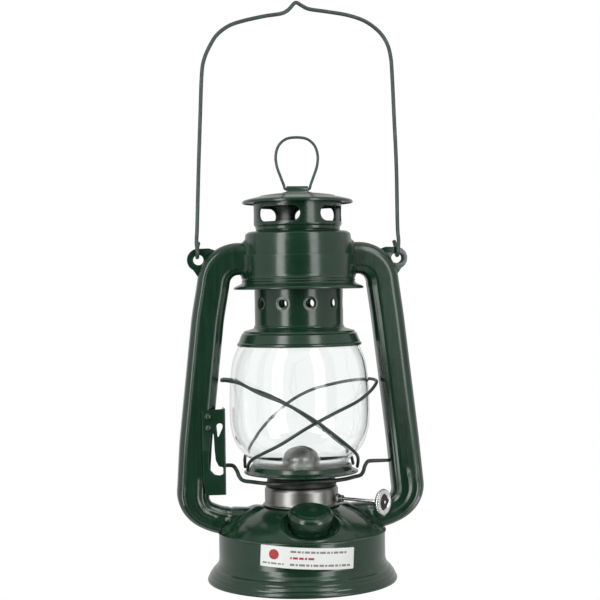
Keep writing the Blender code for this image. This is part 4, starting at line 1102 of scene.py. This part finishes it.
def flame_cone():
    """The burner's dome on its flange, with a long slot over the wick."""
    shape = bmesh.new()
    centre, radius = 68.4, 12.6
    line = rounded([(17.3, 61.6), (17.3, 62.1, 0.2), (13.4, 62.4, 0.6), (12.7, 64.0, 0.5),
                    (radius, centre)], 5)
    for polar in range(84, 59, -6):
        line.append((radius * sin(radians(polar)), centre + radius * cos(radians(polar))))
    rings = [turned_ring(shape, r, z, 96) for r, z in line]
    border = [Vector(vert.co[:2]) for vert in rings[-1]]
    reach, width = 6.5, 2.1     # of the slot: half its straight length, and half its width
    # each row closes in on the slot, and the last one turns down into it
    for share, drop in ((0.3, None), (0.6, None), (0.85, None), (1.0, None), (1.0, -1.0)):
        if drop is None:
            drop = 0.45 * ease(share * 1.3 - 0.3)
        ring = []
        for point in border:
            middle = Vector((max(-reach, min(reach, point.x)), 0))
            place = point.lerp(middle + (point - middle).normalized() * width, share)
            height = centre + sqrt(max(radius ** 2 - place.length_squared, 0)) + drop
            ring.append(shape.verts.new((place.x, place.y, height)))
        rings.append(ring)
    bridge(shape, rings, False)
    shape.normal_update()
    bmesh.ops.recalc_face_normals(shape, faces=shape.faces)
    shape.faces.ensure_lookup_table()
    sample = shape.faces[len(shape.faces) // 2]
    if sample.normal.dot(sample.calc_center_median() - Vector((0, 0, centre))) < 0:
        bmesh.ops.reverse_faces(shape, faces=shape.faces)
    thicken(shape, 0.6)
    shape.transform(WICK_TURN)
    settle(from_bmesh("flame_cone", shape, 50), BURNER, "frame", ["burner_cone"])


def wick_drive():
    """The wick's shaft, its knob of a bright ring and a web darkened as painted shade, and the bush in the
    burner's wall.
    """
    shaft = rounded([(0, -8.0), (1.0, -8.0, 0.2), (1.0, 56.6, 0.2), (0, 56.6)], 3)
    lathe("wick_spindle", shaft, ZINC, "wick_drive", ["wick_shaft"], 32, place=SHAFT_TURN)
    knob = 55.0                 # the knob's middle, along the shaft
    rim = rounded([(4.7, knob - 0.9, 0.4), (5.3, knob - 1.5, 0.5), (7.3, knob - 1.5, 0.8), (7.85, knob, 0.7),
                   (7.3, knob + 1.5, 0.8), (5.3, knob + 1.5, 0.6), (4.6, knob + 0.7, 0.4)], 5, closed=True)
    lathe("knob_wheel", rim, ZINC, "wick_drive", ["wick_knob"], 144, change=knurl, place=SHAFT_TURN)
    web = rounded([(1.3, knob - 0.9), (2.3, knob - 0.9, 0.3), (2.7, knob - 0.3, 0.3), (4.9, knob - 0.3, 0.2),
                   (4.9, knob + 0.2, 0.2), (2.9, knob + 0.2, 0.4), (2.3, knob + 1.0, 0.3),
                   (1.3, knob + 1.0)], 4)
    # the web's dark steel is painted shade in the recess inside the knob's rim
    lathe("knob_web", web, WEB_STEEL, "wick_drive", steps=48, place=SHAFT_TURN)
    bush = rounded([(1.3, 22.9), (2.8, 22.9, 0.2), (2.8, 24.1, 0.2), (2.1, 24.4, 0.2), (2.1, 27.0, 0.3),
                    (1.3, 27.0)], 3)
    lathe("spindle_bush", bush, BURNER, "frame", ["shaft_bush"], 40, place=SHAFT_TURN)


def wick():
    """The flat wick: ribbed along its length, with a slightly frayed top."""
    shape = bmesh.new()
    rings = []
    half_w, half_t, corner = 7.1, 1.2, 0.8
    low, high, sides = 20, 77, 72
    for height in range(low, high + 1):
        ring = []
        for step in range(sides):
            a = 2 * pi * step / sides
            flat = max(-half_w + corner, min(half_w - corner, half_w * 1.3 * cos(a)))
            rib = 0.05 * cos(flat * 9)
            x = flat + corner * cos(a)
            y = max(-half_t, min(half_t, half_t * 1.25 * sin(a))) * (1 + rib)
            frayed = 0.5 * abs(sin(flat * 2.1)) if height == high else 0.0
            ring.append(shape.verts.new((x, y, height - frayed)))
        rings.append(ring)
    tips = []
    for ring in (rings[0], rings[-1]):
        total = sum((vert.co for vert in ring), Vector((0, 0, 0)))
        tips.append([shape.verts.new(total / len(ring))])
    bridge(shape, [tips[0], *rings, tips[1]], False)
    shape.transform(WICK_TURN)
    settle(from_bmesh("wick_tape", shape, 60), COTTON, "wick", ["wick"])


def knurl(point):
    """Grip notches round the knob's rim."""
    radius = hypot(point.x, point.y)
    if radius < 7.2:
        return point
    notch = 0.22 * max(0.0, cos(30 * atan2(point.y, point.x))) ** 2
    return Vector((point.x * (1 - notch / radius), point.y * (1 - notch / radius), point.z))


# ---------------------------------------------------------------- studio
def place_camera(scene):
    camera = bpy.data.objects.new("camera", bpy.data.cameras.new("camera"))
    scene.collection.objects.link(camera)
    camera.data.lens = CAMERA_LENS
    camera.data.sensor_width = 36.0
    camera.data.clip_start = 0.01
    look = Matrix.Rotation(radians(VIEW_AZIMUTH), 4, "Z")
    look @= Matrix.Rotation(radians(90 + CAMERA_PITCH), 4, "X")
    look @= Matrix.Rotation(radians(-CAMERA_ROLL), 4, "Z")
    camera.matrix_world = Matrix.Translation(CAMERA_PLACE) @ look
    scene.camera = camera


def softboxes(scene, view):
    """Four tall softboxes round the lantern: name, azimuth from the view, power, height, middle."""
    boxes = (("softbox_left", -36.0, 6.8, 1.12, 0.54), ("softbox_right", 34.0, 5.2, 1.12, 0.54),
             ("softbox_low_left", -45.0, 3.2, 0.55, -0.31), ("softbox_low_right", 49.0, 3.2, 0.55, -0.31))
    for name, turn, power, tall, middle in boxes:
        data = bpy.data.lights.new(name, "AREA")
        data.shape = "RECTANGLE"
        data.size = SOFTBOX_WIDTH
        data.size_y = tall
        data.energy = power
        light = bpy.data.objects.new(name, data)
        scene.collection.objects.link(light)
        place = Matrix.Rotation(radians(turn), 3, "Z") @ view * SOFTBOX_DISTANCE + Vector((0, 0, middle))
        light.location = place
        light.rotation_mode = "QUATERNION"
        light.rotation_quaternion = (Vector((0, 0, 0.5 * middle)) - place).to_track_quat("-Z", "Y")


def ray_kinds(n):
    """The glossy-ray output, and one that is 1 for rays seen directly or through glass."""
    rays = n.add("ShaderNodeLightPath").outputs
    return rays["Is Glossy Ray"], n.math("MAXIMUM", rays["Is Camera Ray"], rays["Is Transmission Ray"])


def surroundings(scene, view):
    """White where it is seen, and grey, dark towards the front, where it is reflected."""
    n = Nodes("studio", world=True)
    scene.world = n.made
    dot = n.add("ShaderNodeVectorMath", {0: n.place, 1: view}, operation="DOT_PRODUCT")
    ramp = n.ramp(dot.outputs["Value"], [(0.60, (0.66, 0.66, 0.66)), (0.96, (0.03, 0.03, 0.03))])
    ramp.node.color_ramp.interpolation = "EASE"
    n.put("Color", n.mix(ray_kinds(n)[1], ramp, (1.0, 1.0, 1.0)))


def studio_floor(scene):
    """A floor that is white where it is seen, grey as a light source and clear to reflections."""
    disc = bmesh.new()
    bmesh.ops.create_circle(disc, cap_ends=True, segments=64, radius=FLOOR_RADIUS)
    mesh = bpy.data.meshes.new("floor")
    disc.to_mesh(mesh)
    disc.free()
    floor = bpy.data.objects.new("floor", mesh)
    floor.location.z = FLOOR_LEVEL
    scene.collection.objects.link(floor)
    n = Nodes("floor_white")
    for unused in (n.shader, n.place.node):
        n.tree.nodes.remove(unused)
    glossy, seen = ray_kinds(n)
    below = n.add("ShaderNodeBsdfDiffuse", {"Color": (0.35, 0.35, 0.35)}).outputs[0]
    for factor, kind in ((glossy, "ShaderNodeBsdfTransparent"), (seen, "ShaderNodeEmission")):
        inputs = {0: factor, 1: below, 2: n.add(kind).outputs[0]}
        below = n.add("ShaderNodeMixShader", inputs).outputs[0]
    n.feed(n.tree.nodes["Material Output"].inputs["Surface"], below)
    mesh.materials.append(n.made)


def studio():
    scene = bpy.context.scene
    scene.view_settings.view_transform = "Standard"
    place_camera(scene)
    view = Vector((sin(radians(VIEW_AZIMUTH)), -cos(radians(VIEW_AZIMUTH)), 0))
    softboxes(scene, view)
    surroundings(scene, view)
    studio_floor(scene)


def kept_nodes():
    """Hidden pieces keep their CAD shape and get their finish."""
    finishes = {"burner_deck": BURNER_DARK, "wick_tube": BURNER_DARK, "spur_wheel_inner": BURNER,
                "spur_wheel_outer": BURNER}
    for name, finish in finishes.items():
        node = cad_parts[name]
        node.data.materials.clear()
        node.data.materials.append(finish)


air_tube("air_tube_left", -1, ["left_air_tube"])
air_tube("air_tube_right", 1, ["right_air_tube"])
bail_ear("ear_left", -1, ["left_bail_ear"])
bail_ear("ear_right", 1, ["right_bail_ear"])
tank()
label()
crown()
hood()
top_wires()
globe()
lifter()
bracket()
burner()
flame_cone()
wick_drive()
wick()
kept_nodes()
studio()
